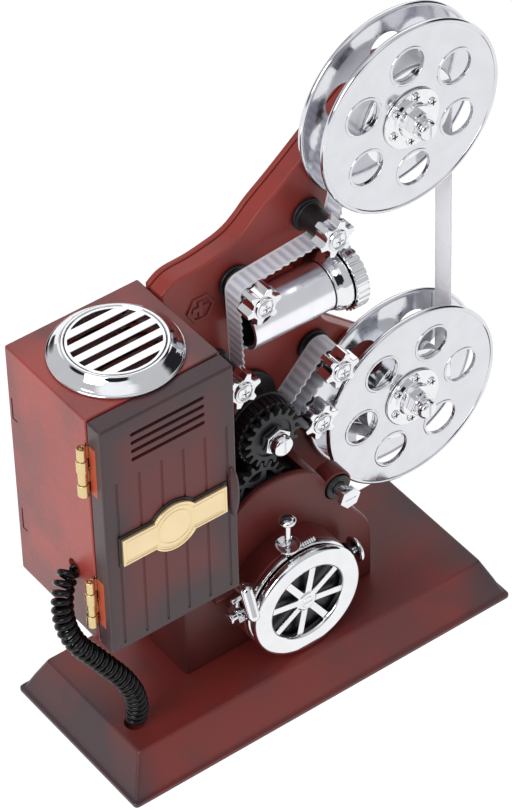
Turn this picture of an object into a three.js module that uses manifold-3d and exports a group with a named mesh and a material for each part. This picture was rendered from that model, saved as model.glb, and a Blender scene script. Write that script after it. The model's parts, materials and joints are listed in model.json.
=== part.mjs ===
// Decorative film projector with two reels, a film path, a lamp house and a clockwork base.
// Millimetres. X runs along the base, -Y faces the user, Z is up; the origin is the centre of the underside.
import * as THREE from 'three';
import Module from 'manifold-3d';

const wasm = await Module();
wasm.setup();

// ---------- driving dimensions ----------
const GAP = 0.15;                       // clearance between fixed pieces that touch
const BASE = { hx: 80, hy: 34.45, topX: 72.3, topY: 26.6, lip: 1.8, h: 16.3, wall: 2.4 };
const DOME = { front: -8.4, back: 14.1, left: -39.5, right: 39.2, wall: 2 };
const COLUMN = { front: 14.4, wall: 2.2, split: 21.2, back: 23.6, left: -27.1, shelf: 64.1 };
const LAMP = { x0: -78.8, x1: -27.4, y0: -16.75, y1: 27.1, z0: 64.3, z1: 162.6, wall: 2.2 };
const DOOR = { x0: -78.6, x1: -27.6, front: -24.3, back: -17.05, z0: 64.7, z1: 162.3, skin: 3 };
const HINGE = { x: -80.9, y: -16.9, r: 1.95, h: 20.1, mids: [142.45, 84.25], pin: 0.75 };
const VENT = { x: -53.1, y: 2.9, r: 22.1, grille: 15.9, slots: 14.9, pitch: 5.44 };
const UPPER = [62.4, 200];
const LOWER = [63.7, 78.8];
const REEL = { r: 35.7, core: 18.05, f0: 0.8, f1: 2, b0: 12.2, b1: 13.4, holes: 6, holeR: 6.3, pitch: 21.3 };
const SPROCKETS = [[30, 168.6], [0.5, 156], [-8.6, 124.6], [31.6, 111], [23, 92.8]];
const POST_R = 1.2;
const HUB_R = 4.5;
const DRUM = { x: 0.8, z: 100.6, core: 9.5, flange: 13.2, back: 14.6, ribs: 18 };
const GEAR = { module: 1.15, drumTeeth: 18, driveTeeth: 16, y0: -5.4, y1: -2.8 };
const BELT = { y0: 3.2, y1: 11.2, t: 0.8, lift: 0.15 };
const LENS = { y: 5.4, z: 144.2, x0: -3.2, body: 28.9, flare: 35.2, end: 40.4, r: 8.7, rim: 12.1 };
const WHEEL = { x: 0.5, z: 38.7, y: -22.2, r: 22, inner: 14.7, spokes: 8 };
const HEX_STUD = [24.6, 66.6];
const CORD_R = 4.05;
const DETAIL = 0.52;                    // share of the listed segment counts that round shapes get
const seg = (n) => Math.max(8, 2 * Math.round(n * DETAIL / 2));

// ---------- materials ----------
const paint = (color, roughness, metalness = 0) => new THREE.MeshStandardMaterial({ color, roughness, metalness });
const mahogany = paint(0x6e2c27, 0.42);
const mahoganyDark = paint(0x4a201d, 0.45);
const chrome = paint(0xdfe0e4, 0.08, 1);
const satin = paint(0xc9cad4, 0.25, 1);
const black = paint(0x141417, 0.4);
const brass = paint(0xc79a48, 0.3, 1);
const gold = paint(0xe8d3a4, 0.35, 0.6);
const steel = paint(0x9a9ca0, 0.35, 1);
const film = new THREE.MeshStandardMaterial({ color: 0xb9b6c6, roughness: 0.3, transparent: true, opacity: 0.75 });
const glass = new THREE.MeshStandardMaterial({ color: 0x9fb4c4, roughness: 0.05, transparent: true, opacity: 0.4 });

// ---------- solid helpers ----------
function toSolid(geometry) {
  const clean = mergeByPosition(geometry);
  const mesh = new wasm.Mesh({
    numProp: 3,
    vertProperties: new Float32Array(clean.attributes.position.array),
    triVerts: new Uint32Array(clean.index.array),
  });
  return new wasm.Manifold(mesh);
}
function mergeByPosition(geometry) {
  const pos = geometry.attributes.position;
  const index = geometry.index ? geometry.index.array : [...Array(pos.count).keys()];
  const seen = new Map();
  const points = [];
  const remap = new Array(pos.count);
  for (let i = 0; i < pos.count; i++) {
    const p = [pos.getX(i), pos.getY(i), pos.getZ(i)];
    const key = p.map((v) => Math.round(v * 1e4)).join(',');
    if (!seen.has(key)) {
      seen.set(key, points.length / 3);
      points.push(...p);
    }
    remap[i] = seen.get(key);
  }
  const tris = [];
  for (let i = 0; i < index.length; i += 3) {
    const [a, b, c] = [remap[index[i]], remap[index[i + 1]], remap[index[i + 2]]];
    if (a !== b && b !== c && c !== a) tris.push(a, b, c);
  }
  const out = new THREE.BufferGeometry();
  out.setAttribute('position', new THREE.Float32BufferAttribute(points, 3));
  out.setIndex(tris);
  return out;
}
function toGeometry(solid) {
  const m = solid.getMesh();
  const g = new THREE.BufferGeometry();
  g.setAttribute('position', new THREE.Float32BufferAttribute(m.vertProperties, 3));
  g.setIndex([...m.triVerts]);
  g.computeVertexNormals();
  return g;
}
const join = (...solids) => solids.flat().reduce((a, b) => a.add(b));
const cut = (from, ...tools) => tools.flat().reduce((a, b) => a.subtract(b), from);

const box = (x0, x1, y0, y1, z0, z1) => toSolid(new THREE.BoxGeometry(x1 - x0, y1 - y0, z1 - z0)
  .translate((x0 + x1) / 2, (y0 + y1) / 2, (z0 + z1) / 2));
const cylY = (r, y0, y1, x = 0, z = 0, n = 32) => toSolid(new THREE.CylinderGeometry(r, r, y1 - y0, seg(n))
  .translate(x, (y0 + y1) / 2, z));
const cylX = (r, x0, x1, y = 0, z = 0, n = 32) => toSolid(new THREE.CylinderGeometry(r, r, x1 - x0, seg(n))
  .rotateZ(-Math.PI / 2).translate((x0 + x1) / 2, y, z));
const cylZ = (r, z0, z1, x = 0, y = 0, n = 32) => toSolid(new THREE.CylinderGeometry(r, r, z1 - z0, seg(n))
  .rotateX(Math.PI / 2).translate(x, y, (z0 + z1) / 2));
// A closed [radius, height] profile turned about the Y axis, and the same about X and Z.
function turned(profile, n = 32) {
  const closed = profile[0][0] > 1e-6 || profile.at(-1)[0] > 1e-6;
  const pts = (closed ? [...profile, profile[0]] : profile).map(([r, h]) => new THREE.Vector2(r, h));
  const area = pts.reduce((s, p, i) => {
    const q = pts[(i + 1) % pts.length];
    return s + p.x * q.y - q.x * p.y;
  }, 0);
  return new THREE.LatheGeometry(area < 0 ? pts.reverse() : pts, seg(n));
}
const latheY = (profile, x = 0, z = 0, n = 32) => toSolid(turned(profile, n).translate(x, 0, z));
const latheX = (profile, y = 0, z = 0, n = 32) => toSolid(turned(profile, n)
  .rotateZ(-Math.PI / 2).translate(0, y, z));
const latheZ = (profile, x = 0, y = 0, n = 32) => toSolid(turned(profile, n)
  .rotateX(Math.PI / 2).translate(x, y, 0));
// An X-Z outline with holes, extruded from y0 to y1.
function plate(outline, y0, y1, holes = []) {
  const shape = new THREE.Shape(outline.map(([x, z]) => new THREE.Vector2(x, z)));
  for (const h of holes) shape.holes.push(new THREE.Path(h.map(([x, z]) => new THREE.Vector2(x, z))));
  const g = new THREE.ExtrudeGeometry(shape, { depth: y1 - y0, bevelEnabled: false, steps: 1 });
  return toSolid(g.rotateX(Math.PI / 2).translate(0, y1, 0));
}
const arc = (cx, cz, r, a0, a1, n) => Array.from({ length: n + 1 }, (_, i) => {
  const a = (a0 + (a1 - a0) * i / n) * Math.PI / 180;
  return [cx + r * Math.cos(a), cz + r * Math.sin(a)];
});
const ring = (r, n = 32, phase = 0) => arc(0, 0, r, phase, phase + 360 - 360 / n, n - 1);
const moved = (outline, dx, dz) => outline.map(([x, z]) => [x + dx, z + dz]);
// The outline drawn in by d, for a counter-clockwise polygon.
function inset(outline, d) {
  const n = outline.length;
  return outline.map((p, i) => {
    const a = outline[(i + n - 1) % n];
    const b = outline[(i + 1) % n];
    const n1 = leftNormal(a, p);
    const n2 = leftNormal(p, b);
    const k = Math.max(0.5, 1 + n1[0] * n2[0] + n1[1] * n2[1]);
    return [p[0] + d * (n1[0] + n2[0]) / k, p[1] + d * (n1[1] + n2[1]) / k];
  });
}
function leftNormal(a, b) {
  const l = Math.hypot(b[0] - a[0], b[1] - a[1]) || 1;
  return [-(b[1] - a[1]) / l, (b[0] - a[0]) / l];
}

const projector = new THREE.Group();
projector.name = 'film_projector';
function put(name, solid, material, at = [0, 0, 0], parent = projector) {
  const mesh = new THREE.Mesh(solid.isBufferGeometry ? solid : toGeometry(solid), material);
  mesh.name = name;
  mesh.position.set(...at);
  parent.add(mesh);
  return mesh;
}

// ---------- base ----------
function frustum(hx0, hy0, z0, hx1, hy1, z1) {
  const g = new THREE.BoxGeometry(2, 2, z1 - z0).translate(0, 0, (z0 + z1) / 2);
  const p = g.attributes.position;
  for (let i = 0; i < p.count; i++) {
    const top = p.getZ(i) > (z0 + z1) / 2;
    p.setXY(i, p.getX(i) * (top ? hx1 : hx0), p.getY(i) * (top ? hy1 : hy0));
  }
  return toSolid(g);
}
const plinthOuter = join(
  box(-BASE.hx, BASE.hx, -BASE.hy, BASE.hy, 0, BASE.lip),
  frustum(BASE.hx - 1, BASE.hy - 1, BASE.lip - 0.3, BASE.topX, BASE.topY, BASE.h),
);
const cordEntry = [-65.8, -14.8];
put('base_plinth', cut(
  plinthOuter,
  frustum(
    BASE.hx - 1 - BASE.wall, BASE.hy - 1 - BASE.wall, 1.7,
    BASE.topX - 1.8, BASE.topY - 1.8, BASE.h - BASE.wall,
  ),
  box(-76.4, 76.4, -30.9, 30.9, -1, 1.8),
  cylZ(4.5, 10, 20, ...cordEntry, 24),
), mahogany);
const coverScrews = [[-66, -22], [66, -22], [-66, 22], [66, 22]];
put('base_cover', cut(
  box(-76.1, 76.1, -30.6, 30.6, 0, 1.6),
  coverScrews.map(([x, y]) => cylZ(2.2, -1, 0.7, x, y, 16)),
), black);

// ---------- lower housing ----------
const domeOutline = [
  [DOME.left, BASE.h + GAP], [DOME.right, BASE.h + GAP], [DOME.right, 36], [38.2, 41.9], [35.6, 46.9], [32, 51.9],
  [27.6, 59], [23.4, 66], [19.6, 72.6], [16.6, 77], [11, 81.2], [5, 83.4], [-1.9, 84.2], [-8.8, 83.2],
  [-15.8, 79.4], [-21.5, 75.2], [-27, 69.8], [-27, COLUMN.shelf - 0.1], [DOME.left, COLUMN.shelf - 0.1],
];
const domeRoom = [
  [-37.5, 10], [37.2, 10], [37.2, 36], [33.9, 45.8], [30.2, 51], [25.8, 58], [21.6, 65], [17.6, 71.4], [14, 75.4],
  [9, 78.9], [3, 81], [-3, 81.8], [-9, 80.9], [-15, 77.2], [-22, 71.8], [-25, 66.5], [-25, 61.9], [-37.5, 61.9],
];
const peg = cylX(1.6, -28.3, -18, -9.8, 46.5, 20);
const wheelCore = latheY([
  [0, -8], [22, -8], [22, -17.3], [19, -17.3], [18.6, -19.4], [0, -19.4],
], WHEEL.x, WHEEL.z, 48);
const studLobe = cylY(6, DOME.front, -1.2, ...HEX_STUD, 28);
const button = { y: -15.6, z: 41.6 };
put('lower_housing', cut(
  join(plate(domeOutline, DOME.front, DOME.back), wheelCore, studLobe, peg),
  plate(domeRoom, DOME.front + DOME.wall, DOME.back + 1),
  box(-22.2, 12.2, DOME.front + DOME.wall, DOME.back + 1, 60, 90),
  cylY(5.1, DOME.front - 1, -6.4, ...HEX_STUD, 28),
  cylX(1.6, 14, 30, button.y, button.z, 20),
  cylY(2.1, -22, -9, WHEEL.x, WHEEL.z, 20),
), mahogany);

// ---------- column ----------
const columnOutline = [
  [-38.9, BASE.h + GAP], [38.9, BASE.h + GAP], [38.9, 58], [38.2, 64.5], [44, 66.6], [52, 66.2],
  ...arc(...LOWER, 13, -112, 55, 12),
  [58, 99.6], [45.9, 110.4], [38.5, 117.2], [35.9, 122.7], [36.6, 130], [38.9, 140], [39.8, 150], [39.8, 160],
  [40.2, 168], [43, 174.2], [50, 179.6],
  ...arc(...UPPER, 13, -72, 128, 14),
  [34.4, 195.4], [27.9, 190.2], [20.2, 184.2], [12.1, 178.3], [8.1, 174.6], [4, 171.5], [0, 169.8],
  [-4, 168.8], [-11.9, 167.4], [-19.8, 167], [-23.7, 165.8], [COLUMN.left, 163.4],
  [COLUMN.left, COLUMN.shelf - 0.1], [-38.9, COLUMN.shelf - 0.1],
];
const hexagon = (r, phase = 0) => ring(r, 6, phase);
const shaftSpots = [UPPER, LOWER];
const lensPad = cylX(14.6, 26.8, 44, LENS.y, LENS.z, 40).intersect(plate(columnOutline, 14.4, COLUMN.split));
const moulding = [-12.5, 150.8];
const key = { x: 12, z: 38 };
const hexMark = join(
  cut(plate(moved(hexagon(5.6, 0), ...moulding), 13.7, 15), plate(moved(hexagon(4.4, 0), ...moulding), 13, 14.4)),
  box(-15.7, -9.3, 14, 15, 149.9, 151.7),
  box(-13.4, -11.6, 14, 15, 147.6, 154),
);
const saddle = cut(box(11, 24, 11.6, 15, 138.4, 150), cylX(LENS.r + 0.2, 8, 27, LENS.y, LENS.z, 40));
put('column_front', cut(
  join(
    cut(
      plate(columnOutline, COLUMN.front, COLUMN.split),
      plate(inset(columnOutline, COLUMN.wall), COLUMN.front + COLUMN.wall, COLUMN.split + 1),
    ),
    shaftSpots.map(([x, z]) => cylY(5.2, COLUMN.front, COLUMN.split, x, z, 24)),
    SPROCKETS.map(([x, z]) => cylY(POST_R, -3.1, 16, x, z, 16)),
    cylY(1.5, -7.8, 16, DRUM.x, DRUM.z, 20),
    lensPad, hexMark, saddle,
  ),
  cylX(LENS.rim + 0.5, 28.7, 44, LENS.y, LENS.z, 56),
  shaftSpots.map(([x, z]) => cylY(2.1, 10, 19.5, x, z, 24)),
  cylY(2.4, 10, 20, key.x, key.z, 24),
), mahogany);
put('column_back', cut(
  plate(columnOutline, COLUMN.split + GAP, COLUMN.back),
  cylY(3, 20, 25, key.x, key.z, 24),
), mahogany);

// ---------- lamp house ----------
const hingeCut = HINGE.mids.map((m) => box(-82, -76.2, -18, -16.05, m - HINGE.h / 2 - 0.3, m + HINGE.h / 2 + 0.3));
const clipSlots = [[25.2, 137], [24.4, 89]].map(([y, z]) => join(
  box(-80, -76, y - 0.4, y + 0.4, z - 4.6, z + 4.6),
  box(-80, -76, y - 2.4, y + 0.4, z - 4.6, z - 3.8),
));
const cordExit = [-78.8, -5, 90];
put('lamp_house', cut(
  box(LAMP.x0, LAMP.x1, LAMP.y0, LAMP.y1, LAMP.z0, LAMP.z1),
  box(LAMP.x0 + 2.2, LAMP.x1 - 2.2, LAMP.y0 - 1, LAMP.y1 - 2.2, LAMP.z0 + 2.2, LAMP.z1 - 2.2),
  cylZ(VENT.slots, 150, 170, VENT.x, VENT.y, 40),
  hingeCut, clipSlots,
  cylX(5.2, -80, -77.4, cordExit[1], cordExit[2], 28),
  cylX(2.1, -80, -70, cordExit[1], cordExit[2], 16),
), mahogany);
const ventZ = LAMP.z1 + GAP;
put('vent_ring', latheZ([
  [15.3, ventZ], [VENT.r, ventZ], [VENT.r, ventZ + 0.9], [21.2, ventZ + 1.5], [19, ventZ + 2.9], [17.7, ventZ + 4.2],
  [17.1, ventZ + 5.1], [16.4, ventZ + 5.1], [16.1, ventZ + 4.8], [16.1, ventZ + 3.3], [15.3, ventZ + 3.3],
], VENT.x, VENT.y, 48), chrome);
const slotHalf = 1.2;
const ventSlots = Array.from({ length: 6 }, (_, i) => {
  const y = (i - 2.5) * VENT.pitch;
  const low = y - slotHalf;
  const high = y + slotHalf;
  const corner = (side) => Math.asin(side / VENT.slots) * 180 / Math.PI;
  const outline = [
    ...arc(0, 0, VENT.slots, corner(low), corner(high), 4),
    ...arc(0, 0, VENT.slots, 180 - corner(high), 180 - corner(low), 4),
  ];
  const shape = new THREE.Shape(moved(outline, VENT.x, VENT.y).map(([a, b]) => new THREE.Vector2(a, b)));
  return toSolid(new THREE.ExtrudeGeometry(shape, { depth: 6, bevelEnabled: false }).translate(0, 0, ventZ));
});
put('vent_grille', cut(cylZ(VENT.grille, ventZ + 3.45, ventZ + 4.95, VENT.x, VENT.y, 40), ventSlots), chrome);

// ---------- door ----------
const door = new THREE.Group();
door.name = 'door';
projector.add(door);
const plateMid = [-53.1, 108.6];
const barOutline = (grow) => {
  const a = 25;
  const h = 5.6 + grow;
  const half = 20.3 + grow;
  const r = 9.6 + grow;
  const turn = Math.asin(h / r) * 180 / Math.PI;
  return moved([
    [-half, -h], ...arc(0, 0, r, 180 + turn, 360 - turn, a), [half, -h], [half, h],
    ...arc(0, 0, r, turn, 180 - turn, a), [-half, h],
  ], ...plateMid);
};
const louvres = [155.3, 151.8, 148.3, 144.8].map((z) => box(-67.4, -39.2, -26, -20, z - 0.7, z + 0.7));
const grooves = [-73.6, -64.9, -56.4, -48, -39.6, -31.2].map((x) => {
  const top = 138.3;
  const bottom = DOOR.z0 + 4;
  const g = new THREE.CylinderGeometry(0.75, 0.75, top - bottom, 4).rotateX(Math.PI / 2);
  return toSolid(g.translate(x, DOOR.front, (top + bottom) / 2));
});
const doorHingeCut = HINGE.mids.map((m) => box(-82, -73.2, -17.7, -16, m - HINGE.h / 2 - 0.3, m + HINGE.h / 2 + 0.3));
put('door_panel', cut(
  join(
    cut(
      box(DOOR.x0, DOOR.x1, DOOR.front, DOOR.back, DOOR.z0, DOOR.z1),
      box(DOOR.x0 + 6, DOOR.x1 - 3.5, DOOR.front + DOOR.skin, DOOR.back + 1, DOOR.z0 + 3.5, DOOR.z1 - 3.5),
      grooves,
    ),
    plate(barOutline(0.9), DOOR.front - 0.5, DOOR.front + 1),
  ),
  louvres, doorHingeCut,
), mahoganyDark, [0, 0, 0], door);
put('nameplate', plate(barOutline(0), DOOR.front - 1.7, DOOR.front - 0.6), gold, [0, 0, 0], door);
const pull = new THREE.SphereGeometry(1, 12, 10).scale(2, 3, 10.5).translate(-29.7, DOOR.front - 0.1, 109.2);
put('door_pull', cut(toSolid(pull), box(-40, -20, DOOR.front - 0.1, -10, 90, 130)), mahoganyDark, [0, 0, 0], door);

// Each hinge has four knuckles: the box's leaf carries two and the pin, the door's leaf carries two.
const knuckle = HINGE.h / 4;
HINGE.mids.forEach((mid, i) => {
  const low = mid - HINGE.h / 2;
  const place = i === 0 ? 'upper' : 'lower';
  const barrel = (k, bore) => {
    const outer = cylZ(HINGE.r, low + k * knuckle + 0.06, low + (k + 1) * knuckle - 0.06, HINGE.x, HINGE.y, 24);
    return bore ? cut(outer, cylZ(HINGE.pin + 0.1, low - 1, low + HINGE.h + 1, HINGE.x, HINGE.y, 24)) : outer;
  };
  const leafAt = (y0, y1, x1, k) => {
    const start = low + k * knuckle;
    return box(HINGE.x + 1, x1, y0, y1, start + 0.06, start + knuckle - 0.06);
  };
  const leafPlate = (y0, y1, x1) => box(-78.5, x1, y0, y1, low + 0.06, low + HINGE.h - 0.06);
  put(`hinge_${place}_box_leaf`, join(
    [0, 2].map((k) => join(barrel(k, false), leafAt(-16.62, -16.2, -78, k))),
    leafPlate(-16.62, -16.2, -76.8),
    cylZ(HINGE.pin, low, low + HINGE.h, HINGE.x, HINGE.y, 24),
  ), brass);
  put(`hinge_${place}_door_leaf`, join(
    [1, 3].map((k) => join(barrel(k, true), leafAt(-17.62, -17.2, -78, k))),
    leafPlate(-17.62, -17.2, -73.6),
  ), brass, [0, 0, 0], door);
});

// ---------- film loop ----------
// Each wheel: centre, radius at the middle of the film, and +1 where the film turns counter-clockwise.
const ride = (r) => r + BELT.lift + BELT.t / 2;
const [S1, S2, S3, S4, S5] = SPROCKETS;
const route = [
  [UPPER, ride(REEL.core), 1], [S1, ride(HUB_R), -1], [S2, ride(HUB_R), 1], [S3, ride(HUB_R), -1],
  [[DRUM.x, DRUM.z], ride(DRUM.core), 1], [S4, ride(HUB_R), -1], [S5, ride(HUB_R), 1], [LOWER, ride(REEL.core), 1],
];
function heading([c1, r1, s1], [c2, r2, s2]) {
  const d = [c2[0] - c1[0], c2[1] - c1[1]];
  const k = s2 * r2 - s1 * r1;
  return Math.atan2(d[1], d[0]) - Math.asin(k / Math.hypot(...d));
}
const loop = [];
route.forEach((wheel, i) => {
  const [c, r, s] = wheel;
  const inn = heading(route[(i + route.length - 1) % route.length], wheel) - s * Math.PI / 2;
  let out = heading(wheel, route[(i + 1) % route.length]) - s * Math.PI / 2;
  while ((out - inn) * s < 0) out += s * 2 * Math.PI;
  while ((out - inn) * s > 2 * Math.PI) out -= s * 2 * Math.PI;
  const steps = Math.max(3, Math.ceil(Math.abs(out - inn) / (r > 15 ? 0.16 : 0.32)));
  for (let j = 0; j <= steps; j++) {
    const a = inn + (out - inn) * j / steps;
    loop.push([c[0] + r * Math.cos(a), c[1] + r * Math.sin(a)]);
  }
});
put('film_belt', plate(inset(loop, -BELT.t / 2), BELT.y0, BELT.y1, [inset(loop, BELT.t / 2)]), film);

// ---------- sprockets and their hubs ----------
function starOutline(teeth, root, tip, phase = 0) {
  const pts = [];
  for (let i = 0; i < teeth; i++) {
    const a = phase + i * 360 / teeth;
    const w = 360 / teeth;
    for (const [f, r] of [[-0.32, root], [-0.13, tip], [0.13, tip], [0.32, root]]) {
      const t = (a + f * w) * Math.PI / 180;
      pts.push([r * Math.cos(t), r * Math.sin(t)]);
    }
  }
  return pts;
}
const star = starOutline(6, 4.8, 6.9, 10);
const sprocketSolid = cut(
  join(
    plate(star, -3, 2.9),
    cylY(3.8, -3.7, -2.9, 0, 0, 24), cylY(2.7, -4.1, -3.6, 0, 0, 20),
  ),
  cylY(POST_R + 0.12, -3.3, 5, 0, 0, 16),
  join(box(-1.5, 1.5, -5, -3.7, -0.3, 0.3), box(-0.3, 0.3, -5, -3.7, -1.5, 1.5)),
);
const sprocketShape = toGeometry(sprocketSolid);
const hubShape = toGeometry(latheY([
  [POST_R + 0.12, 3], [HUB_R, 3], [HUB_R, 11.8], [6, 11.8], [6, 14], [POST_R + 0.12, 14],
], 0, 0, 24));
SPROCKETS.forEach(([x, z], i) => {
  const roller = new THREE.Group();
  roller.name = `roller_group_${i + 1}`;
  roller.position.set(x, 0, z);
  projector.add(roller);
  put(`roller_hub_${i + 1}`, hubShape, black, [0, 0, 0], roller);
  put(`sprocket_${i + 1}`, sprocketShape, chrome, [0, 0, 0], roller);
});

// ---------- drum and gears ----------
function gearOutline(teeth, centreAngle) {
  const pitch = GEAR.module * teeth / 2;
  const tip = pitch + 0.9 * GEAR.module;
  const root = pitch - 1.15 * GEAR.module;
  const pts = [];
  for (let i = 0; i < teeth; i++) {
    for (const [f, r] of [[-0.29, root], [-0.2, pitch], [-0.11, tip], [0.11, tip], [0.2, pitch], [0.29, root]]) {
      const t = centreAngle + (i + f) * 2 * Math.PI / teeth;
      pts.push([r * Math.cos(t), r * Math.sin(t)]);
    }
  }
  return pts;
}
const mesh = Math.atan2(-0.954, -0.3);
const centres = GEAR.module * (GEAR.drumTeeth + GEAR.driveTeeth) / 2 + 0.08;
const drive = [DRUM.x + centres * Math.cos(mesh), DRUM.z + centres * Math.sin(mesh)];
const drumRibs = starOutline(DRUM.ribs, 11.6, 12.1);
put('drum', cut(
  join(
    latheY([[1, -1], [11, -1], [11, 1.7], [DRUM.flange, 1.7], [DRUM.flange, 2.9], [DRUM.core, 2.9], [DRUM.core, 12.1],
      [DRUM.back, 12.1], [DRUM.back, 14], [1, 14]], 0, 0, 48),
    plate(drumRibs, -2.5, 1.8),
  ),
  cylY(1.62, -5, 20, 0, 0, 20),
), black, [DRUM.x, 0, DRUM.z]);
put('drum_gear', plate(gearOutline(GEAR.drumTeeth, mesh), GEAR.y0, GEAR.y1, [ring(1.62, 20)]),
  black, [DRUM.x, 0, DRUM.z]);
put('drum_nut', cut(
  join(
    plate(hexagon(5.3, 20), -8.4, -5.6),
    latheY([[0, -12], [2.6, -12], [3.6, -11.3], [4, -10], [4, -8.3], [0, -8.3]], 0, 0, 28),
  ),
  cylY(1.62, -7.95, 0, 0, 0, 20),
  box(-0.45, 0.45, -14, -11.1, -5, 5),
), chrome, [DRUM.x, 0, DRUM.z]);
const windows = Array.from({ length: 5 }, (_, i) => {
  const a0 = i * 72 + 9;
  return [...arc(0, 0, 6.6, a0, a0 + 54, 3), ...arc(0, 0, 3.2, a0 + 48, a0 + 6, 1)];
});
put('drive_gear', join(
  plate(gearOutline(GEAR.driveTeeth, mesh + Math.PI + Math.PI / GEAR.driveTeeth), GEAR.y0, GEAR.y1, windows),
  cylY(1.6, GEAR.y0, 4, 0, 0, 20),
), black, [drive[0], 0, drive[1]]);
const caseOutline = [
  [-21.6, 62], [11.6, 62], [11.6, 78.4], [4, 83.4], [-3, 85.2], [-9, 85.2], [-15, 81.6], [-21.6, 76],
];
put('movement_case', cut(
  plate(caseOutline, -2.4, 13.8),
  plate(inset(caseOutline, 1.6), -0.8, 15),
  cylY(1.75, -4, 0, ...drive, 20),
), black);

// ---------- reels ----------
function flangeOutline() {
  return ring(REEL.r - 0.7, 36);
}
function reelHoles(phase, r) {
  return Array.from({ length: REEL.holes }, (_, i) => {
    const a = (phase + i * 60) * Math.PI / 180;
    return moved(ring(r, 10, 0), REEL.pitch * Math.cos(a), REEL.pitch * Math.sin(a));
  });
}
function flange(phase, y0, y1, rimY0, rimY1) {
  const disc = plate(flangeOutline(), y0, y1, [...reelHoles(phase, REEL.holeR), ring(2.2, 20)]);
  const rim = latheY([[REEL.r - 1.3, rimY0], [REEL.r, rimY0], [REEL.r, rimY1], [REEL.r - 1.3, rimY1]], 0, 0, 60);
  return join(disc, rim);
}
function reelHub() {
  const screws = Array.from({ length: 6 }, (_, i) => cylY(1.1, -1.1, 0, 8.3 * Math.cos(i * Math.PI / 3 + 0.4),
    8.3 * Math.sin(i * Math.PI / 3 + 0.4), 12));
  return cut(
    join(
      latheY([[0, 0.65], [11.2, 0.65], [11.2, -0.2], [10.6, -0.6], [6, -0.6], [6, -2.2], [0, -2.2]], 0, 0, 36),
      plate(hexagon(4.7, 10), -5, -2.1),
      latheY([[0, -9.2], [2.4, -9.2], [3.3, -8.4], [3.6, -7], [3.6, -4.9], [0, -4.9]], 0, 0, 24),
      screws,
    ),
    cylY(2.2, -5.6, 2, 0, 0, 20),
    box(-0.4, 0.4, -11, -8.4, -5, 5),
  );
}
function addReel(name, [x, z], phase) {
  const reel = new THREE.Group();
  reel.name = `${name}_group`;
  reel.position.set(x, 0, z);
  projector.add(reel);
  put(`${name}_front_flange`, flange(phase, REEL.f0, REEL.f1, 0.3, 2.5), chrome, [0, 0, 0], reel);
  put(`${name}_back_flange`, flange(phase, REEL.b0, REEL.b1, 11.7, 13.8), chrome, [0, 0, 0], reel);
  const core = cut(cylY(REEL.core, REEL.f1 + 0.1, REEL.b0 - 0.1, 0, 0, 48), cylY(2.2, 0, 14, 0, 0, 20));
  put(`${name}_core`, core, chrome, [0, 0, 0], reel);
  put(`${name}_hub`, reelHub(), chrome, [0, 0, 0], reel);
  put(`${name}_shaft`, cylY(2, -5.4, 19.3, x, z, 24), steel);
}
addReel('upper_reel', UPPER, 33.6);
addReel('lower_reel', LOWER, 6.3);

// ---------- lens ----------
const { y: ly, z: lz } = LENS;
put('lens_barrel', cut(latheX([
  [LENS.r - 1.3, LENS.x0], [LENS.r, LENS.x0], [LENS.r, LENS.body], [LENS.r + 1.7, LENS.body + 2.6],
  [LENS.r + 2, LENS.flare - 0.1], [LENS.r - 1.3, LENS.flare - 0.1],
], ly, lz, 40), cylY(7.3, -6, 20, ...S2, 32)), satin);
const knurl = starOutline(20, LENS.rim - 0.6, LENS.rim);
const knurlSolid = plate(knurl, 0, LENS.end - LENS.flare - 0.1);
const ringSolid = cut(knurlSolid, cylY(LENS.r + 0.3, 1.6, 9, 0, 0, 36), cylY(LENS.r - 1.2, -1, 9, 0, 0, 36));
put('focus_ring', toGeometry(ringSolid).rotateZ(-Math.PI / 2).translate(LENS.flare + 0.1, ly, lz), chrome);
put('lens_glass', latheX([
  [0, 30.6], [LENS.r - 1.6, 29.6], [LENS.r - 1.6, 28.4], [0, 27.4],
], ly, lz, 24), glass);

// ---------- spoked wheel on the lower housing ----------
const wheelMid = (WHEEL.r + WHEEL.inner) / 2;
const tube = (WHEEL.r - WHEEL.inner) / 2;
const wheelRing = toSolid(new THREE.TorusGeometry(wheelMid, tube, 8, 32).rotateX(Math.PI / 2).scale(1, 0.55, 1));
const spokes = Array.from({ length: WHEEL.spokes }, (_, i) => {
  const g = new THREE.BoxGeometry(13.5, 1.2, 2.6).translate(9, 0, 0).rotateY(i * 2 * Math.PI / WHEEL.spokes + 0.2);
  return toSolid(g);
});
put('spoked_wheel', cut(
  join(
    wheelRing, spokes,
    latheY([[0, -1.4], [3.2, -1.4], [4.2, -0.6], [4.2, 1.2], [0, 1.2]], 0, 0, 28),
    cylY(1.9, 1, 9, 0, 0, 20),
  ),
  box(-2, 2, -3, -0.9, -0.3, 0.3),
), chrome, [WHEEL.x, WHEEL.y, WHEEL.z]);
put('wheel_backing', latheY([
  [2.2, -20.1], [16.4, -20.1], [16.4, -19.55], [2.2, -19.55],
], WHEEL.x, WHEEL.z, 36), black);
const pin = { x: -4, y: -18.75 };
put('wheel_trim_ring', cut(
  join(
    latheY([
      [19.2, -19.6], [21.2, -19.6], [21.8, -19.1], [21.8, -17.9], [21.2, -17.5], [19.2, -17.5],
    ], WHEEL.x, WHEEL.z, 48),
    cylZ(1.1, 58.8, 62.8, pin.x, pin.y, 16),
    latheZ([[0, 62.4], [2, 62.4], [4.2, 64.1], [4.4, 65], [0, 65]], pin.x, pin.y, 24),
    cylX(0.6, pin.x, 7, pin.y, 61.1, 12), cylX(1.1, 1.6, 7, pin.y, 61.1, 12),
  ),
  cylZ(0.75, 60.2, 70, pin.x, pin.y, 16),
), chrome);
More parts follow.
